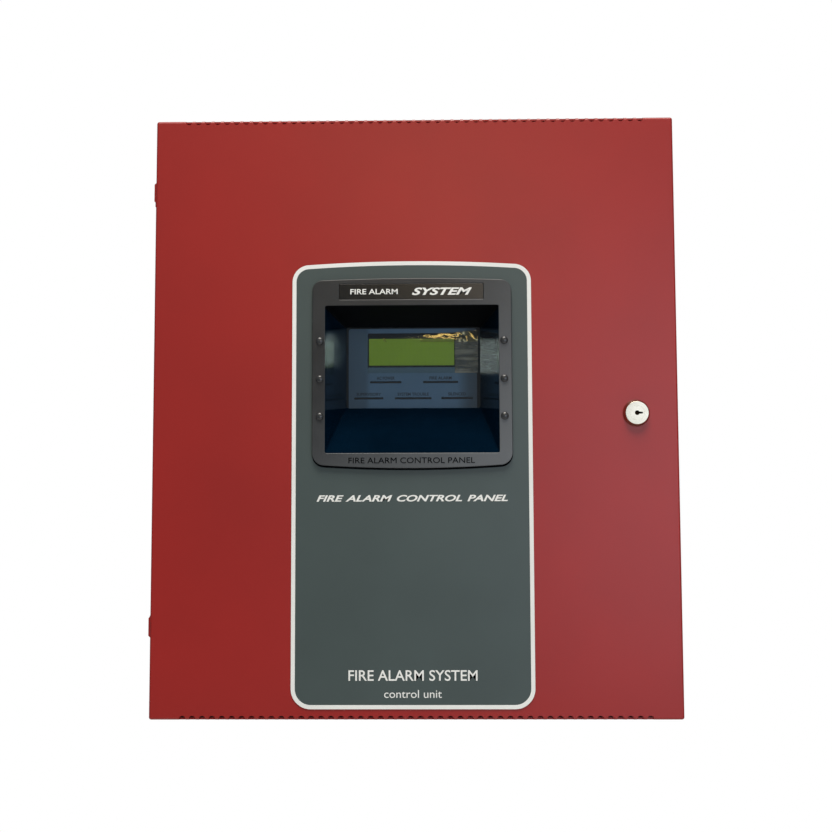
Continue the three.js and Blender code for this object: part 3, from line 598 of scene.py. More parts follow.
def copied(node):
    """A CAD node's shape as a merged bmesh, in millimetres, with flat faces made whole."""
    mesh = bmesh.new()
    mesh.from_mesh(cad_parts[node].data)
    bmesh.ops.scale(mesh, vec=(1 / MM,) * 3, verts=mesh.verts)
    bmesh.ops.remove_doubles(mesh, verts=mesh.verts, dist=1e-3)
    bmesh.ops.dissolve_limit(
        mesh, angle_limit=math.radians(1), use_dissolve_boundaries=False, verts=mesh.verts, edges=mesh.edges
    )
    return mesh


def softened(node, material, slot, soften=0.3, segments=2, body="cabinet"):
    """A CAD node's shape with the small edge radii that its making leaves."""
    place_piece(node + "_soft", copied(node), material, slot, body, [node], soften, segments)


def letters(name, words, centre, height, material="white_screen_ink", body="door", wide=None, lean=0.0,
            weight=0.0, rise=0.12, gap=1.0):
    """Raised or printed words facing the front, centred on a point, in millimetres."""
    text = bpy.data.curves.new(name, "FONT")
    text.body = words
    text.size = height * 1.37
    text.shear = lean
    text.offset = weight
    text.space_word = gap
    text.extrude = rise / 2
    text.align_x = "CENTER"
    text.align_y = "CENTER"
    text.resolution_u = 4
    holder = linked(name + "_text", text)
    mesh = evaluated(holder)
    bpy.data.objects.remove(holder)
    bpy.data.curves.remove(text)
    xs = [v.co.x for v in mesh.verts]
    ys = [v.co.y for v in mesh.verts]
    middle = Vector(((min(xs) + max(xs)) / 2, (min(ys) + max(ys)) / 2, 0))
    bmesh.ops.translate(mesh, vec=-middle, verts=mesh.verts)
    if wide:
        bmesh.ops.scale(mesh, vec=(wide / (max(xs) - min(xs)), 1, 1), verts=mesh.verts)
    bmesh.ops.rotate(mesh, matrix=Matrix.Rotation(math.pi / 2, 3, "X"), verts=mesh.verts)
    bmesh.ops.translate(mesh, vec=centre, verts=mesh.verts)
    place_piece(name, mesh, material, None, body)


# ---------------------------------------------------------------- cabinet and door

KNOCKOUT_DEPTH = 0.5
HANGING_X = 165
HANGING_Z = 212


def knockouts(high, y):
    """The name, centre and outward axis of each knockout."""
    for index, x in enumerate((-160, -80, 0, 80, 160)):
        yield f"top_knockout_{index + 1}", (x, y, high.z - KNOCKOUT_DEPTH), (0, 0, 1)
    for word, side in (("left", -1), ("right", 1)):
        for index, z in enumerate((-60, 60, 170)):
            yield f"{word}_knockout_{index + 1}", (side * (high.x - KNOCKOUT_DEPTH), y, z), (side, 0, 0)


def place_knockout(name, centre, axis):
    """A half-sheared disc with a smaller disc inside it, each a little below the wall."""
    rim, inner, floor = 13.5, 9.0, 0.02
    outer_rise, inner_rise = KNOCKOUT_DEPTH * 0.8, KNOCKOUT_DEPTH * 0.35
    profile = [(0, inner_rise), (inner - 0.4, inner_rise), (inner, floor), (inner + 0.4, outer_rise),
               (rim - 0.4, outer_rise), (rim, floor), (rim, -0.3), (0, -0.3)]
    place_piece(name, lathed(profile, centre, axis), *ENAMEL)


class BackboxOperator(bpy.types.Operator):
    """Makes the steel backbox with its turned-in lip, knockouts and keyhole slots"""

    bl_idname = "alarm_panel.backbox"
    bl_label = "Backbox"
    bl_options = {"REGISTER", "UNDO"}

    def execute(self, context):
        sizes = context.scene.alarm_panel_sizes
        low, high = span("backbox")
        sheet, bend, lip = to_mm(sizes.sheet), to_mm(sizes.bend), 13.0
        box = folded_tray(low, high, -1, sheet, bend)
        clear = 0.01
        lips = block((low.x + clear, low.y, low.z + clear), (high.x - clear, low.y + sheet, high.z - clear))
        round_off(lips, edges_at(lips, low.y), 1.2)
        mouth = block((low.x + lip, low.y - 5, low.z + lip), (high.x - lip, low.y + 5, high.z - lip), 6, 6)
        box = carve(box, carve(lips, mouth), "UNION")
        middle_y = low.y * 0.45
        recesses, holes, slots = bmesh.new(), bmesh.new(), bmesh.new()
        for name, centre, axis in knockouts(high, middle_y):
            rod(recesses, 14.1, centre, Vector(centre) + 3 * Vector(axis), 48)
        head, shank = 5.5, 2.8
        for x in (-HANGING_X, HANGING_X):
            rod(holes, head, (x, -5, HANGING_Z), (x, 5, HANGING_Z), 32)
            rod(holes, shank, (x, -5, -HANGING_Z), (x, 5, -HANGING_Z), 24)
            slotted(slots, shank, (x, 0, HANGING_Z), (0, 0, 12 - shank), (0, 1, 0), -5, 5, 20)
        for tools in (recesses, holes, slots):
            box = carve(box, tools)
        place_piece("backbox_shell", box, *ENAMEL, nodes=["backbox"])
        for name, centre, axis in knockouts(high, middle_y):
            place_knockout(name, centre, axis)
        return {"FINISHED"}


class HingesOperator(bpy.types.Operator):
    """Makes both hinges: their leaves, knuckles, pins and rivets"""

    bl_idname = "alarm_panel.hinges"
    bl_label = "Hinges"
    bl_options = {"REGISTER", "UNDO"}

    def execute(self, context):
        head = [(0, 0.9), (1.2, 0.8), (2.0, 0.35), (2.3, 0), (2.3, -0.2), (0, -0.2)]
        for place in ("upper", "lower"):
            leaf = f"{place}_hinge_cabinet_leaf"
            softened(leaf, *ENAMEL, 0.35)
            softened(f"{place}_hinge_door_leaf", *ENAMEL, 0.35, body="door")
            softened(f"{place}_hinge_pin", *ZINC, 0.2)
            low, high = span(leaf)
            for index, z in enumerate((low.z + 6, high.z - 6)):
                mesh = lathed(head, (high.x - 1.5, high.y - 7, z), (-1, 0, 0), 24)
                place_piece(f"{place}_hinge_rivet_{index + 1}", mesh, *ENAMEL)
        return {"FINISHED"}


def window_hole(y, corner=0.0):
    """A cutter for the hole behind the bezel, just outside the walls of its funnel."""
    low, high = span("window_bezel")
    return block((low.x + 6.8, y - 3, low.z + 8), (high.x - 6.8, y + 3, high.z - 18.8), corner)


def vents(sizes, low, high, on_face):
    """Cutters for the half of every slot on the face, or for the half on the flange."""
    tools = bmesh.new()
    radius = to_mm(sizes.vent_width) / 2
    for index in range(sizes.vent_count):
        x = (index - (sizes.vent_count - 1) / 2) * to_mm(sizes.vent_pitch)
        for edge, way in ((high.z, 1), (low.z, -1)):
            if on_face:
                start = (x, 0, edge - way * (to_mm(sizes.vent_face) - radius))
                slotted(tools, radius, start, (0, 0, way * 4), (0, 1, 0), low.y - 2, low.y + 2.6)
            else:
                start = (x, low.y + to_mm(sizes.vent_flange) - radius, 0)
                ends = sorted((edge - way * 1.7, edge + way * 2))
                slotted(tools, radius, start, (0, -12, 0), (0, 0, 1), *ends)
    return tools


class DoorOperator(bpy.types.Operator):
    """Makes the folded steel door with its window, its lock hole and its vent slots"""

    bl_idname = "alarm_panel.door"
    bl_label = "Door"
    bl_options = {"REGISTER", "UNDO"}

    def execute(self, context):
        sizes = context.scene.alarm_panel_sizes
        low, high = span("door")
        door = folded_tray(low, high, 1, to_mm(sizes.sheet), to_mm(sizes.bend))
        holes = window_hole(low.y, 3)
        lock_low, lock_high = span("lock_body")
        lock = (lock_low + lock_high) / 2
        rod(holes, 8.6, (lock.x, low.y - 3, lock.z), (lock.x, low.y + 3, lock.z), 48)
        for tools in (holes, vents(sizes, low, high, True), vents(sizes, low, high, False)):
            door = carve(door, tools)
        place_piece("door_shell", door, *ENAMEL, "door", ["door"])
        return {"FINISHED"}


class LabelOperator(bpy.types.Operator):
    """Makes the printed label on the door, its white outline and its generic words"""

    bl_idname = "alarm_panel.label"
    bl_label = "Door label"
    bl_options = {"REGISTER", "UNDO"}

    def execute(self, context):
        low, high = span("door_label")
        low, high = low + Vector((1.1, 0, 0)), high - Vector((1.4, 0, 0))
        mesh = crowned_plate(low, high, top=(14, 14, 2.7), foot=(16, 14, 0))
        ground = [f for f in mesh.faces if f.normal.y < -0.9]
        border, lip, sunk = to_mm(context.scene.alarm_panel_sizes.border), 0.06, 0.08
        bmesh.ops.inset_region(mesh, faces=ground, thickness=border, use_even_offset=True)
        bmesh.ops.inset_region(mesh, faces=ground, thickness=lip, use_even_offset=True)
        for face in mesh.faces:
            face.material_index = 0 if face in ground else 1
        bmesh.ops.translate(mesh, vec=(0, sunk, 0), verts=list({v for f in ground for v in f.verts}))
        inks = ["printed_polyester_label", "white_screen_ink"]
        mesh = carve(mesh, window_hole(low.y))
        place_piece("label_sheet", mesh, inks, "label_film", "door", ["door_label"])
        y = low.y - 0.02
        title = "FIRE ALARM CONTROL PANEL"
        letters("label_title", title, (-2.2, y, -68.5), 5.1, wide=154.5, lean=0.3, weight=0.19, gap=1.4)
        letters("label_foot_large", "FIRE ALARM SYSTEM", (-2, y, -209.5), 8.6, wide=103, weight=0.1)
        letters("label_foot_small", "control unit", (-2, y, -224), 6.6, wide=46)
        return {"FINISHED"}


# ---------------------------------------------------------------- window and lock

BEZEL_CROWN = 1.4
BEZEL_SAG = 2.4
BEZEL_PLATE = 3.0


def bezel_frame(low, high, mouth_low, mouth_high):
    """The frame with its bowed top and foot, its mouth and the recess for the nameplate."""
    corner = Vector((high.x, low.y + BEZEL_PLATE, high.z))
    mesh = crowned_plate(low, corner, (8.5, 9, BEZEL_CROWN), (10, 10, BEZEL_SAG))
    mouth = block(mouth_low - Vector((0, 3, 0)), mouth_high + Vector((0, 9, 0)), 1.2)
    strip_low, strip_high = span("nameplate")
    gap = 0.15
    recess = block((strip_low.x - gap, low.y - 3, strip_low.z - gap),
                   (strip_high.x + gap, low.y + 1, strip_high.z + gap), 0.5, 3)
    return carve(carve(mesh, mouth), recess)


def bezel_shadow_strip(low, high):
    """A thin near-black strip just below the frame's lower edge: a painted shadow where the frame meets the
    label.
    """
    below, thick = 1.5, 0.9
    back = low.y + BEZEL_PLATE
    corners = Vector((low.x, back - thick, low.z - below)), Vector((high.x, back, high.z - BEZEL_CROWN - 8))
    mesh = crowned_plate(*corners, foot=(10, 10, BEZEL_SAG), wider=0.3)
    return carve(mesh, block((low.x + 5, low.y - 3, low.z + 8), (high.x - 5, low.y + 8, high.z + 8)))


def funnel(mouth_low, mouth_high, throat_low, throat_high):
    """Four sloping walls from the frame's mouth back to the clear pane."""
    start_y = mouth_low.y + 0.4
    mesh = block((mouth_low.x, start_y, mouth_low.z), (mouth_high.x, throat_low.y - 0.3, mouth_high.z))
    for v in mesh.verts:
        if v.co.y > start_y + 1:
            v.co.x = throat_low.x if v.co.x < 0 else throat_high.x
            v.co.z = throat_low.z if v.co.z < 30 else throat_high.z
    ends = [f for f in mesh.faces if abs(f.normal.y) > 0.98]
    bmesh.ops.delete(mesh, geom=ends, context="FACES")
    round_off(mesh, [e for e in mesh.edges if abs(e.verts[0].co.y - e.verts[1].co.y) > 5], 1.6, 5)
    bmesh.ops.recalc_face_normals(mesh, faces=mesh.faces)
    middle = (mouth_low + mouth_high) / 2
    if sum(f.normal.dot(f.calc_center_median() - middle) for f in mesh.faces) < 0:
        bmesh.ops.reverse_faces(mesh, faces=mesh.faces)
    bmesh.ops.solidify(mesh, geom=mesh.faces[:], thickness=-1.7)
    # The top wall takes the second finish, near black and dull, as painted shade.
    for face in mesh.faces:
        face.material_index = 1 if face.calc_center_median().z > throat_high.z - 1 else 0
    return mesh


class BezelOperator(bpy.types.Operator):
    """Makes the moulded window frame, a dark strip of painted shadow under it, the funnel behind it and its
    raised words
    """

    bl_idname = "alarm_panel.bezel"
    bl_label = "Window bezel"
    bl_options = {"REGISTER", "UNDO"}

    def execute(self, context):
        low, high = span("window_bezel")
        mouth_low, mouth_high = Vector((low.x + 10.4, low.y, -32)), Vector((high.x - 10.4, low.y, 88.2))
        pane_low, pane_high = span("display_window")
        throat_low, throat_high = pane_low + Vector((2.4, 0, 3.6)), pane_high - Vector((3.5, 0, 2.4))
        edge = to_mm(context.scene.alarm_panel_sizes.bezel_edge)
        place_piece("bezel_frame", bezel_frame(low, high, mouth_low, mouth_high), "textured_moulded_abs",
                    "bezel_plastic", "door", ["window_bezel"], edge, 3)
        place_piece("bezel_shadow_strip", bezel_shadow_strip(low, high), "matt_moulded_abs", "bezel_plastic", "door")
        walls = ["polished_moulded_abs", "matt_moulded_abs"]
        mesh = funnel(mouth_low, mouth_high, throat_low, throat_high)
        place_piece("viewing_funnel", mesh, walls, "bezel_plastic", "door")
        letters("bezel_words", "FIRE ALARM CONTROL PANEL", (-2.4, low.y - 0.1, -38.0), 4.8,
                "matt_moulded_abs", wide=102, rise=0.3)
        return {"FINISHED"}


class NameplateOperator(bpy.types.Operator):
    """Makes the dark strip above the window, with generic words in place of a maker's"""

    bl_idname = "alarm_panel.nameplate"
    bl_label = "Nameplate"
    bl_options = {"REGISTER", "UNDO"}

    def execute(self, context):
        low, high = span("nameplate")
        strip = block(low, high, 0.4, 3)
        place_piece("nameplate_strip", strip, "gloss_black_strip", "black_plastic", "door", ["nameplate"],
                    soften=0.15)
        y, middle = low.y - 0.02, (low.z + high.z) / 2
        letters("nameplate_words", "FIRE ALARM", (-32.7, y, middle), 4.4, wide=38.7, weight=0.1, rise=0.1)
        letters("nameplate_word_bold", "SYSTEM", (22.6, y, middle), 5.9, wide=49, lean=0.35, weight=0.25,
                rise=0.1)
        return {"FINISHED"}


class FixingsOperator(bpy.types.Operator):
    """Makes the six domed fixings of the bezel"""

    bl_idname = "alarm_panel.fixings"
    bl_label = "Bezel fixings"
    bl_options = {"REGISTER", "UNDO"}

    def execute(self, context):
        for node in [f"bezel_rivet_{side}_{index}" for side in ("left", "right") for index in (1, 2, 3)]:
            low, high = span(node)
            radius, rise = (high.x - low.x) / 2, high.y - low.y
            angles = [step * math.pi / 16 for step in range(9)]
            dome = [(radius * math.sin(a), rise * math.cos(a)) for a in angles]
            centre = ((low.x + high.x) / 2, high.y, (low.z + high.z) / 2)
            mesh = lathed(dome + [(radius, -0.25), (0, -0.25)], centre, steps=32)
            place_piece(node + "_dome", mesh, "satin_domed_abs", "bezel_plastic", "door", [node])
        return {"FINISHED"}


class WindowOperator(bpy.types.Operator):
    """Makes the clear pane at the back of the bezel"""

    bl_idname = "alarm_panel.window"
    bl_label = "Clear pane"
    bl_options = {"REGISTER", "UNDO"}

    def execute(self, context):
        softened("display_window", "cast_acrylic", "clear_acrylic", 0.25, body="door")
        return {"FINISHED"}


def lock_head(low, high, bore, centre):
    """The domed head and the barrel behind it, turned in one piece, with a bore for the plug."""
    head, barrel, rise = (high.x - low.x) / 2, 8.25, 4.4
    back = low.y + rise - high.y
    profile = [(bore, rise), (head - 1.85, rise), (head - 1.65, rise - 0.1), (head - 1.4, rise - 0.5),
               (head - 0.15, 0.4), (head, 0.15), (head - 0.15, 0), (barrel, 0), (barrel, back + 0.3),
               (barrel - 0.3, back), (bore, back), (bore, rise)]
    return lathed(profile, (centre.x, low.y + rise, centre.z), steps=72)


def lock_plug(radius, centre):
    """The plug with its round keyhole and the slot beside it, whose walls are brass painted dark as shade."""
    low, high = span("lock_plug")
    profile = [(0, 0), (radius - 0.03, 0), (radius, -0.03), (radius, low.y - high.y), (0, low.y - high.y)]
    mesh = lathed(profile, (centre.x, low.y, centre.z))
    for hole_radius, start, ahead in ((1.9, 0, 0.02), (0.8, 0.6, 3.2)):
        tools = bmesh.new()
        at = (centre.x + start, low.y, centre.z)
        slotted(tools, hole_radius, at, (ahead, 0, 0), (0, 1, 0), -2, 8.6, 24)
        mesh = carve(mesh, tools)
    # The walls inside the hole take the brass finish, painted dark as shade.
    for face in mesh.faces:
        middle = face.calc_center_median()
        inside = (middle.x - centre.x) ** 2 + (middle.z - centre.z) ** 2 < 4.7 ** 2
        face.material_index = 1 if inside and 0.05 < middle.y - low.y < 9 else 0
    return mesh


def cam_screw(centre):
    """The slotted pan-head screw that holds the cam on the plug."""
    low, high = span("cam_screw")
    seat = high.y - 2.4
    profile = [(0, 2.4), (2.6, 2.25), (3.8, 1.5), (4.2, 0.6), (4.2, 0), (2.05, 0),
               (2.05, low.y - seat), (0, low.y - seat)]
    mesh = lathed(profile, (centre.x, seat, centre.z), (0, 1, 0), 40)
    return carve(mesh, block(*around(centre.x, centre.z, 12, 1.2, seat + 1.4, seat + 5)))


class LockOperator(bpy.types.Operator):
    """Makes the cam lock: its head, plug, nut, cam, screw and strike"""

    bl_idname = "alarm_panel.lock"
    bl_label = "Lock"
    bl_options = {"REGISTER", "UNDO"}

    def execute(self, context):
        low, high = span("lock_body")
        centre, bore = (low + high) / 2, 5.95
        place_piece("lock_head", lock_head(low, high, bore, centre), *NICKEL, "door", ["lock_body"])
        plug = lock_plug(bore - 0.02, centre)
        place_piece("lock_plug_turned", plug, [NICKEL[0], "shaded_keyway_brass"], NICKEL[1], "lock", ["lock_plug"])
        softened("lock_nut", *ZINC, 0.4, 3, "door")
        softened("lock_cam", *ZINC, 0.25, body="lock")
        softened("lock_strike", *ZINC, 0.25)
        place_piece("cam_screw_turned", cam_screw(centre), *ZINC, "lock", ["cam_screw"])
        return {"FINISHED"}


# ---------------------------------------------------------------- chassis, board and power

# Across, up, height and width of each chip.
CHIPS = ((-130, 120, 20, 9), (-130, 80, 14, 9), (-104, 120, 14, 9), (-104, 84, 20, 9), (-140, 30, 22, 22),
         (105, 128, 20, 9), (140, 96, 14, 9), (106, 60, 24, 14), (140, 20, 14, 9), (-100, -60, 14, 9))
# Across, up, radius and rise of each capacitor.
CANS = ((120, 168, 9, 22), (146, 168, 9, 22), (-160, 165, 6.3, 14), (-142, 165, 6.3, 14), (164, 60, 5, 12),
        (164, 44, 5, 12), (-100, 40, 5, 12), (-164, 60, 5, 12), (100, 20, 4, 9))
# Across, up and number of pins of each header.
HEADERS = ((-100, 150, 10), (112, 150, 6), (150, 130, 8), (-150, -30, 12), (130, -30, 10))
PIN_PITCH = 2.54
SCREWS = {"lower_left": (-170, -80), "lower_right": (170, -80), "upper_left": (-170, 180),
          "upper_middle": (0, 180), "upper_right": (170, 180)}


class ChassisOperator(bpy.types.Operator):
    """Makes the zinc-plated chassis that carries the circuit board"""

    bl_idname = "alarm_panel.chassis"
    bl_label = "Chassis"
    bl_options = {"REGISTER", "UNDO"}

    def execute(self, context):
        softened("chassis", *ZINC, 0.5, 3)
        return {"FINISHED"}


def place_board_screws(y):
    """Cross-slotted pan-head screws over the standoffs."""
    head = [(0, 2.2), (1.8, 2.0), (2.7, 1.3), (3.0, 0.5), (3.0, 0), (0, 0)]
    for place, (x, z) in SCREWS.items():
        mesh = lathed(head, (x, y - 0.02, z), steps=32)
        for wide, tall in ((3.8, 0.8), (0.8, 3.4)):
            mesh = carve(mesh, block(*around(x, z, wide, tall, y - 4, y - 1.2)))
        place_piece(f"board_screw_{place}", mesh, *ZINC)


def chip_leads(x, z, tall, wide, y):
    """The corners of the leads down both sides of a chip."""
    count = int(tall / 1.9)
    for index in range(count):
        at = z - tall / 2 + (index + 0.5) * tall / count
        for side in (-1, 1):
            yield around(x + side * (wide / 2 + 0.75), at, 1.5, 0.6, y - 0.55, y - 0.05)


def place_capacitors(y):
    """Upright electrolytic capacitors: a sleeve with a crimped shoulder and a bare scored top."""
    sleeves, tops = bmesh.new(), bmesh.new()
    for x, z, radius, rise in CANS:
        profile = [(0, 0), (radius, 0), (radius, rise * 0.14), (radius * 0.93, rise * 0.19),
                   (radius, rise * 0.24), (radius, rise - 0.8), (radius - 0.25, rise - 0.2),
                   (radius - 1, rise), (0, rise)]
        turned(sleeves, profile, (x, y - 0.4, z), steps=28)
        cap = [(0, 0.25), (radius - 1.3, 0.25), (radius - 1.1, 0.05), (0, 0.05)]
        turned(tops, cap, (x, y - 0.4 - rise, z), steps=28)
    place_piece("board_capacitors", sleeves, "shrink_sleeve", "black_plastic")
    place_piece("board_capacitor_tops", tops, "spun_aluminium", "nickel_plate")


def place_headers(y):
    """Pin headers and their shrouds for the display, the charger and the programming lead."""
    shrouds, pins = [], []
    for x, z, count in HEADERS:
        wide = count * PIN_PITCH + 3
        shrouds += [around(x, z - 2.6, wide, 0.8, y - 8.5, y - 7.6), around(x, z, wide, 6, y - 7.6, y - 0.2)]
        for index in range(count):
            at = x + (index - (count - 1) / 2) * PIN_PITCH
            pins.append(around(at, z, 0.64, 0.64, y - 11, y - 7.6))
    place_piece("board_headers", slabs(shrouds), "white_screen_ink", "terminal_plastic", soften=0.25)
    place_piece("board_header_pins", slabs(pins), *TIN)


class BoardOperator(bpy.types.Operator):
    """Makes the main circuit board and everything soldered to it"""

    bl_idname = "alarm_panel.board"
    bl_label = "Main board"
    bl_options = {"REGISTER", "UNDO"}

    def execute(self, context):
        softened("main_board", *LAMINATE, 0.2)
        y = span("main_board")[0].y
        place_board_screws(y)
        bodies = [around(x, z, wide, tall, y - 2.2, y - 0.3) for x, z, tall, wide in CHIPS]
        place_piece("board_chips", slabs(bodies), *EPOXY, soften=0.25)
        leads = [lead for chip in CHIPS for lead in chip_leads(*chip, y)]
        place_piece("board_chip_leads", slabs(leads), *TIN)
        for word, xs in (("left", (-160, -138, -116)), ("right", (104, 126, 148))):
            covers = slabs([around(x, -79, 16, 18, y - 15, y - 0.4) for x in xs])
            place_piece(f"board_relays_{word}", covers, "moulded_blue_polyester", "black_plastic", soften=0.8)
        place_capacitors(y)
        place_headers(y)
        return {"FINISHED"}


def place_terminal_block(node, way):
    """One block: a stepped body with an entry and a sunk screw for each wire."""
    low, high = span(node)
    ways = 14
    pitch = (high.x - low.x) / ways
    middle = (low.z + high.z) / 2
    screw_z = middle - way * 2.3
    step_z = (high.z if way > 0 else low.z) - way * 2.5
    tools, screws, slots = bmesh.new(), bmesh.new(), bmesh.new()
    head = [(0, 0), (1.5, 0), (1.75, -0.3), (1.75, -1.2), (0, -1.2)]
    for x in [low.x + (index + 0.5) * pitch for index in range(ways)]:
        rod(tools, 1.9, (x, low.y - 2, screw_z), (x, low.y + 3.2, screw_z), 20)
        slab(tools, *around(x, step_z, 3.4, 12, low.y + 6.2, low.y + 10.2))
        turned(screws, head, (x, low.y + 1.7, screw_z), steps=20)
        slab(slots, *around(x, screw_z, 4, 0.56, low.y, low.y + 2.4))
    for x in [low.x + index * pitch for index in range(1, ways)]:
        slab(tools, *around(x, middle, 0.44, high.z - low.z + 2, low.y - 1, low.y + 0.5))
    place_piece(node + "_moulded", carve(copied(node), tools), "moulded_green_polyamide", "terminal_plastic",
                nodes=[node], soften=0.2)
    place_piece(node + "_screws", carve(screws, slots), *ZINC)


class TerminalsOperator(bpy.types.Operator):
    """Makes the four terminal blocks, their clamp screws and their wire entries"""

    bl_idname = "alarm_panel.terminals"
    bl_label = "Terminal blocks"
    bl_options = {"REGISTER", "UNDO"}

    def execute(self, context):
        for end, way in (("upper", 1), ("lower", -1)):
            for side in ("left", "right"):
                place_terminal_block(f"terminal_block_{end}_{side}", way)
        return {"FINISHED"}


def place_battery(node):
    """A case with a panel sunk in its front and back, and a lid with six vent caps."""
    low, high = span(node)
    top = high.z - 8
    case = block(low, (high.x, high.y, top), 2.5, 4, 2)
    panels = [((low.x + 9, y - 0.6, low.z + 10), (high.x - 9, y + 0.6, top - 14)) for y in (low.y, high.y)]
    place_piece(f"{node}_case", carve(case, slabs(panels)), *BATTERY_ABS, nodes=[node], soften=0.5)
    lid = block((low.x + 3, low.y + 3, top - 0.5), (high.x - 3, high.y - 3, top + 2))
    for index in range(6):
        x = low.x + (high.x - low.x) * (index + 0.5) / 6
        rod(lid, 5, (x, (low.y + high.y) / 2, top + 1.8), (x, (low.y + high.y) / 2, top + 2.3), 24)
    place_piece(f"{node}_lid", lid, *BATTERY_ABS, soften=0.3)
    place_battery_terminal(f"{node}_negative", low.x + 14, low.y, top, EPOXY[0])
    place_battery_terminal(f"{node}_positive", high.x - 14, low.y, top, "moulded_red_abs")


def place_battery_terminal(name, x, y, top, plastic):
    """A blade with a hole near its end, on a coloured foot."""
    foot = block((x - 6, y + 7, top + 1.9), (x + 6, y + 18, top + 3.2))
    place_piece(name + "_foot", foot, plastic, "battery_case", soften=0.4)
    blade = block((x - 3, y + 12, top + 2.5), (x + 3, y + 12.8, top + 8))
    hole = bmesh.new()
    rod(hole, 0.9, (x, y + 11, top + 5.6), (x, y + 14, top + 5.6), 16)
    place_piece(name + "_blade", carve(blade, hole), *TIN, soften=0.15)


class BatteriesOperator(bpy.types.Operator):
    """Makes the two standby batteries with their lids, vents and terminals"""

    bl_idname = "alarm_panel.batteries"
    bl_label = "Standby batteries"
    bl_options = {"REGISTER", "UNDO"}

    def execute(self, context):
        place_battery("battery_left")
        place_battery("battery_right")
        return {"FINISHED"}


class TransformerOperator(bpy.types.Operator):
    """Makes the mains transformer: laminated core, taped winding and corner bolts"""

    bl_idname = "alarm_panel.transformer"
    bl_label = "Transformer"
    bl_options = {"REGISTER", "UNDO"}

    def execute(self, context):
        softened("transformer_core", "varnished_steel_laminations", "core_steel")
        softened("transformer_winding", "wound_polyester_tape", "winding_tape", 3.0, 5)
        low, high = span("transformer_core")
        bolts = bmesh.new()
        head = [(0, 2.4), (2.2, 2.2), (3.4, 1.4), (3.6, 0), (0, 0)]
        for x in (low.x + 5, high.x - 5):
            for z in (low.z + 5, high.z - 5):
                turned(bolts, head, (x, low.y - 0.01, z), steps=6)
        place_piece("transformer_bolts", bolts, *ZINC, soften=0.2)
        return {"FINISHED"}


# ---------------------------------------------------------------- display and keys

LAMPS = {"lamp_power": "AC POWER", "lamp_alarm": "FIRE ALARM", "lamp_supervisory": "SUPERVISORY",
         "lamp_trouble": "SYSTEM TROUBLE", "lamp_silenced": "SILENCED"}
KEY_LEGENDS = {
    "key_1": "1", "key_2": "2", "key_3": "3", "key_4": "4", "key_5": "5", "key_6": "6", "key_7": "7",
    "key_8": "8", "key_9": "9", "key_0": "0", "key_star": "*", "key_hash": "#",
    "key_acknowledge": "ACK", "key_silence": "SIL", "key_drill": "DRILL", "key_reset": "RESET",
}
FILM = ("flat_protective_film", "creased_protective_film", "stretched_protective_film")
FLAT, CREASED, STRETCHED = range(3)
CREASE_FROM = 65.0
FLAP_FROM = 34.0


def screen_mask():
    """The black printed frame at the edges of the screen."""
    low, high = span("lcd_glass")
    sheet = block((low.x, low.y - 0.25, low.z), (high.x, low.y - 0.02, high.z))
    opening = block((low.x + 1, low.y - 2, low.z + 1.8), (high.x - 1.3, low.y + 2, high.z - 4.6), 0.6, 3)
    return carve(sheet, opening)


def openings_for(nodes, y, inset=0.0):
    """Cutters through a sheet at y for the nodes that show through it."""
    corners = []
    for node in nodes:
        low, high = span(node)
        corners.append(((low.x + inset, y - 3, low.z + inset), (high.x - inset, y + 3, high.z - inset)))
    return slabs(corners)


def place_display_overlay(y):
    """The printed film over the display, cut for the screen and the lamps, with its legends."""
    sheet = block((-57, y - 0.3, 7), (52.6, y - 0.02, 76.3), 2, 5)
    place_piece("display_overlay", carve(sheet, openings_for(["lcd_glass", *LAMPS], y)), *OVERLAY)
    for node, words in LAMPS.items():
        low, high = span(node)
        wide = min(high.x - low.x, 1.9 * len(words))
        centre = ((low.x + high.x) / 2, y - 0.32, high.z + 2.6)
        letters(node + "_legend", words, centre, 2.6, "dark_legend_ink", "cabinet", wide, weight=0.08,
                rise=0.06)


def place_keypad_overlay(y):
    """The printed film round the keys."""
    low, high = span("keypad_mat")
    sheet = block((low.x + 2, y - 0.3, low.z + 1), (high.x - 2, y - 0.02, high.z + 4), 3, 5)
    place_piece("keypad_overlay", carve(sheet, openings_for(KEY_LEGENDS, y, 0.5)), *OVERLAY)


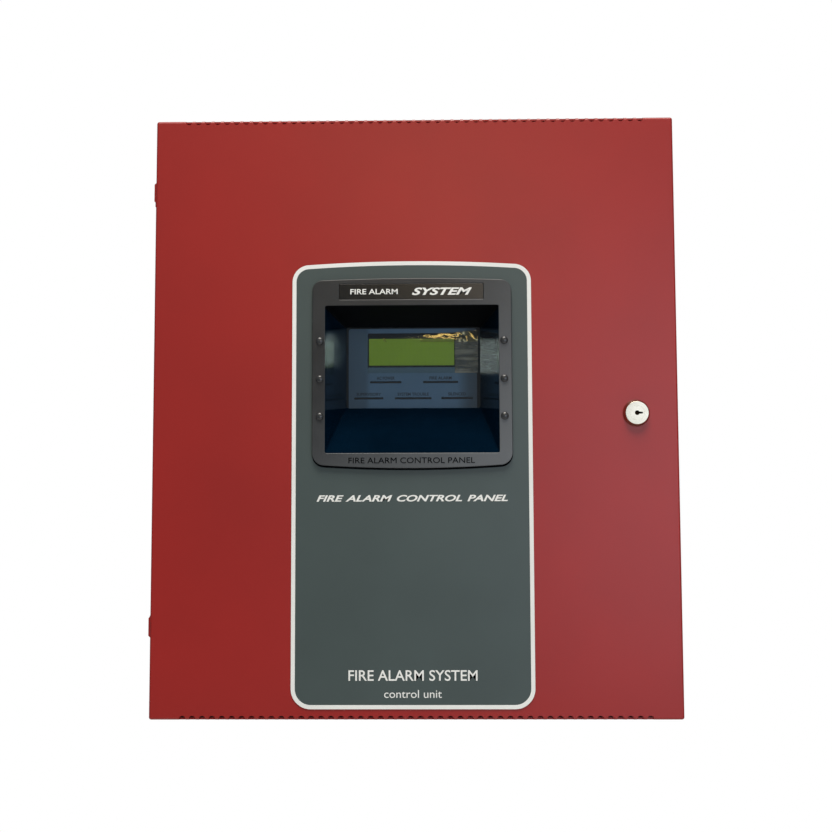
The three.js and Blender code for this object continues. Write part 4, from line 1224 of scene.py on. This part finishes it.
def protective_film(y):
    """The protective film over the top and the right of the display, lifted and creased at its top."""
    mesh = bmesh.new()
    bmesh.ops.create_grid(mesh, x_segments=96, y_segments=38, size=0.5)
    low, high = Vector((-41, y - 1.2, 38)), Vector((53.5, y - 1.2, 75.5))
    bmesh.ops.rotate(mesh, matrix=Matrix.Rotation(math.pi / 2, 3, "X"), verts=mesh.verts)
    bmesh.ops.scale(mesh, vec=(high.x - low.x, 1, high.z - low.z), verts=mesh.verts)
    bmesh.ops.translate(mesh, vec=(low + high) / 2, verts=mesh.verts)
    geometry = mesh.verts[:] + mesh.edges[:] + mesh.faces[:]
    torn_at, torn_slope = (0, 0, 70), (-0.09, 0, 1)
    bmesh.ops.bisect_plane(mesh, geom=geometry, plane_co=torn_at, plane_no=torn_slope, clear_outer=True)
    for face in mesh.faces:
        middle = face.calc_center_median()
        narrow_crease = abs(middle.x + 26 + (middle.z - 66) * 0.5) < 1
        folded = middle.z > CREASE_FROM and (middle.x > 4 or narrow_crease)
        face.material_index = CREASED if folded else STRETCHED if middle.x > FLAP_FROM else FLAT
    for v in mesh.verts:
        lifted = min(1.0, max(0.0, (v.co.z - CREASE_FROM) / 1.5))
        loose = min(1.0, max(0.0, (v.co.x - FLAP_FROM) / 2))
        fold = noise.noise(Vector((v.co.x * 0.1 + v.co.z * 0.06, v.co.z * 0.16, 3.0)))
        ripple = noise.noise(Vector((v.co.x * 0.28, v.co.z * 0.12, 9.0)))
        v.co.y += lifted * (0.75 * abs(fold) + 0.084 * (v.co.z - CREASE_FROM) - 0.5)
        v.co.y += (0.04 + 0.35 * loose) * ripple
    bmesh.ops.recalc_face_normals(mesh, faces=mesh.faces)
    bmesh.ops.solidify(mesh, geom=mesh.faces[:], thickness=0.05)
    return mesh


class DisplayOperator(bpy.types.Operator):
    """Makes the moulded housing, its printed overlays, the character screen and the lamps"""

    bl_idname = "alarm_panel.display"
    bl_label = "Display"
    bl_options = {"REGISTER", "UNDO"}

    def execute(self, context):
        softened("display_housing", "satin_moulded_abs", "fascia_plastic", 0.35, 3)
        softened("lcd_module", *EPOXY)
        softened("display_board", *LAMINATE, 0.2)
        softened("keypad_mat", *RUBBER)
        softened("lcd_glass", "supertwist_screen", "lcd_screen", 0.1)
        for node in LAMPS:
            softened(node, "smoked_polycarbonate", "black_plastic", 0.25)
        place_piece("lcd_mask", screen_mask(), "black_glass_ink", "black_plastic")
        y = span("display_housing")[0].y
        place_display_overlay(y)
        place_keypad_overlay(y)
        place_piece("protective_film", protective_film(y), FILM, "clear_acrylic")
        return {"FINISHED"}


class KeysOperator(bpy.types.Operator):
    """Makes the sixteen rubber keys and their legends"""

    bl_idname = "alarm_panel.keys"
    bl_label = "Keys"
    bl_options = {"REGISTER", "UNDO"}

    def execute(self, context):
        for node, words in KEY_LEGENDS.items():
            softened(node, *RUBBER, 0.5, 3, node)
            low, high = span(node)
            centre = ((low.x + high.x) / 2, low.y - 0.01, (low.z + high.z) / 2)
            one_sign = len(words) == 1
            height, wide = (4.2, None) if one_sign else (2.3, min(9.4, 2.6 * len(words)))
            letters(node + "_legend", words, centre, height, "dark_legend_ink", node, wide, rise=0.06)
        return {"FINISHED"}


# ---------------------------------------------------------------- studio

# Name, place, the point it faces, size, power and colour of each lamp. The two windows are small
# patches of daylight that the funnel's polished side walls mirror.
LIGHTS = (
    ("overhead_light", (0.0, -1.2, 2.5), (0, 0, 0), (1.6, 1.2), 98, "#fff8f0"),
    ("sheen_light", (0.66, -1.75, 0.0), (0.1, -0.135, 0.0), (0.9, 1.0), 7.0, "#e4ecff"),
    ("right_window", (1.118, -1.35, 0.286), (0.0, -0.1, 0.05), (0.1, 0.07), 0.2, "#e6fbf6"),
    ("left_window", (-0.892, -1.35, 0.252), (0.0, -0.1, 0.05), (0.1, 0.076), 0.22, "#ecfbf4"),
    ("warm_lamp", (0.05, -1.6, 0.56), (0.02, -0.1, 0.07), (0.3, 0.16), 1.0, "#ffe2a8"),
)


def place_light(name, place, target, size, power, colour):
    """A soft oblong light that faces a point."""
    light = bpy.data.lights.new(name, "AREA")
    light.shape = "RECTANGLE"
    light.size, light.size_y = size
    light.energy = power
    light.color = to_linear(colour)[:3]
    lamp = linked(name, light)
    lamp.location = place
    lamp.rotation_euler = (Vector(target) - Vector(place)).to_track_quat("-Z", "Y").to_euler()


def light_sky(scene):
    """An even white surround, dimmer in the light that it gives than in what it shows."""
    scene.world = bpy.data.worlds.new("white_surround")
    scene.world.use_nodes = True
    tree = scene.world.node_tree
    tree.nodes.clear()
    seen = add(tree, "LightPath").outputs["Is Camera Ray"]
    tones = {"Factor": seen, "A": (0.2, 0.215, 0.23, 1), "B": (1, 1, 1, 1)}
    level = add(tree, "Mix", tones, data_type="RGBA")
    sky = add(tree, "Background", {"Color": level.outputs["Result"]})
    add(tree, "OutputWorld", {"Surface": sky})


def place_camera(scene):
    """A level lens a little below the middle of the door and a little to its right."""
    camera = bpy.data.cameras.new("front_camera")
    camera.lens = 47.67
    camera.sensor_width = 36
    scene.camera = linked("front_camera", camera)
    scene.camera.location = (0.0158, -1.02745, -0.0673)
    scene.camera.rotation_euler = [math.radians(a) for a in (94.19, 0.197, 0.956)]


class StageOperator(bpy.types.Operator):
    """Makes the pale floor, the soft lights and the camera"""

    bl_idname = "alarm_panel.stage"
    bl_label = "Studio"
    bl_options = {"REGISTER", "UNDO"}

    def execute(self, context):
        # Heavy card with a matt face: pale, and too dull to mirror the cabinet.
        coated("matt_studio_paper", "#e9e9e7", "#f0f0ee", 400, 6, 0.01, (0.8, 0.9))
        card = block((-1100, -1100, -802), (1100, 900, -800))
        linked("studio_floor", mesh_from("studio_floor", card, ["matt_studio_paper"]))
        light_sky(context.scene)
        for light in LIGHTS:
            place_light(*light)
        place_camera(context.scene)
        context.scene.view_settings.view_transform = "Standard"
        return {"FINISHED"}


# ---------------------------------------------------------------- add-on

PIECES = (
    BackboxOperator, HingesOperator, DoorOperator, LabelOperator, BezelOperator, NameplateOperator,
    FixingsOperator, WindowOperator, LockOperator, ChassisOperator, BoardOperator, TerminalsOperator,
    BatteriesOperator, TransformerOperator, DisplayOperator, KeysOperator, StageOperator,
)


class AlarmPanelSidebar(bpy.types.Panel):
    """Lists the sizes, the colours and the pieces of the alarm panel"""

    bl_idname = "VIEW3D_PT_alarm_panel"
    bl_label = "Alarm Panel"
    bl_space_type = "VIEW_3D"
    bl_region_type = "UI"
    bl_category = "Alarm Panel"

    def draw(self, context):
        layout = self.layout
        for group in (context.scene.alarm_panel_sizes, context.scene.alarm_panel_colours):
            for name in group.bl_rna.properties.keys():
                if name not in ("rna_type", "name"):
                    layout.prop(group, name)
        for piece in PIECES:
            layout.operator(piece.bl_idname)


CLASSES = (AlarmPanelSizes, AlarmPanelColours, *PIECES, AlarmPanelSidebar)


def register():
    for item in CLASSES:
        bpy.utils.register_class(item)
    bpy.types.Scene.alarm_panel_sizes = bpy.props.PointerProperty(type=AlarmPanelSizes)
    bpy.types.Scene.alarm_panel_colours = bpy.props.PointerProperty(type=AlarmPanelColours)


def unregister():
    del bpy.types.Scene.alarm_panel_colours
    del bpy.types.Scene.alarm_panel_sizes
    for item in reversed(CLASSES):
        bpy.utils.unregister_class(item)


def main():
    register()
    make_finishes(bpy.context.scene.alarm_panel_colours)
    for piece in PIECES:
        group, name = piece.bl_idname.split(".")
        if getattr(getattr(bpy.ops, group), name)() != {"FINISHED"}:
            raise RuntimeError(f"{piece.bl_label} couldn't be made")
    bpy.context.view_layer.update()


if __name__ == "__main__":
    main()
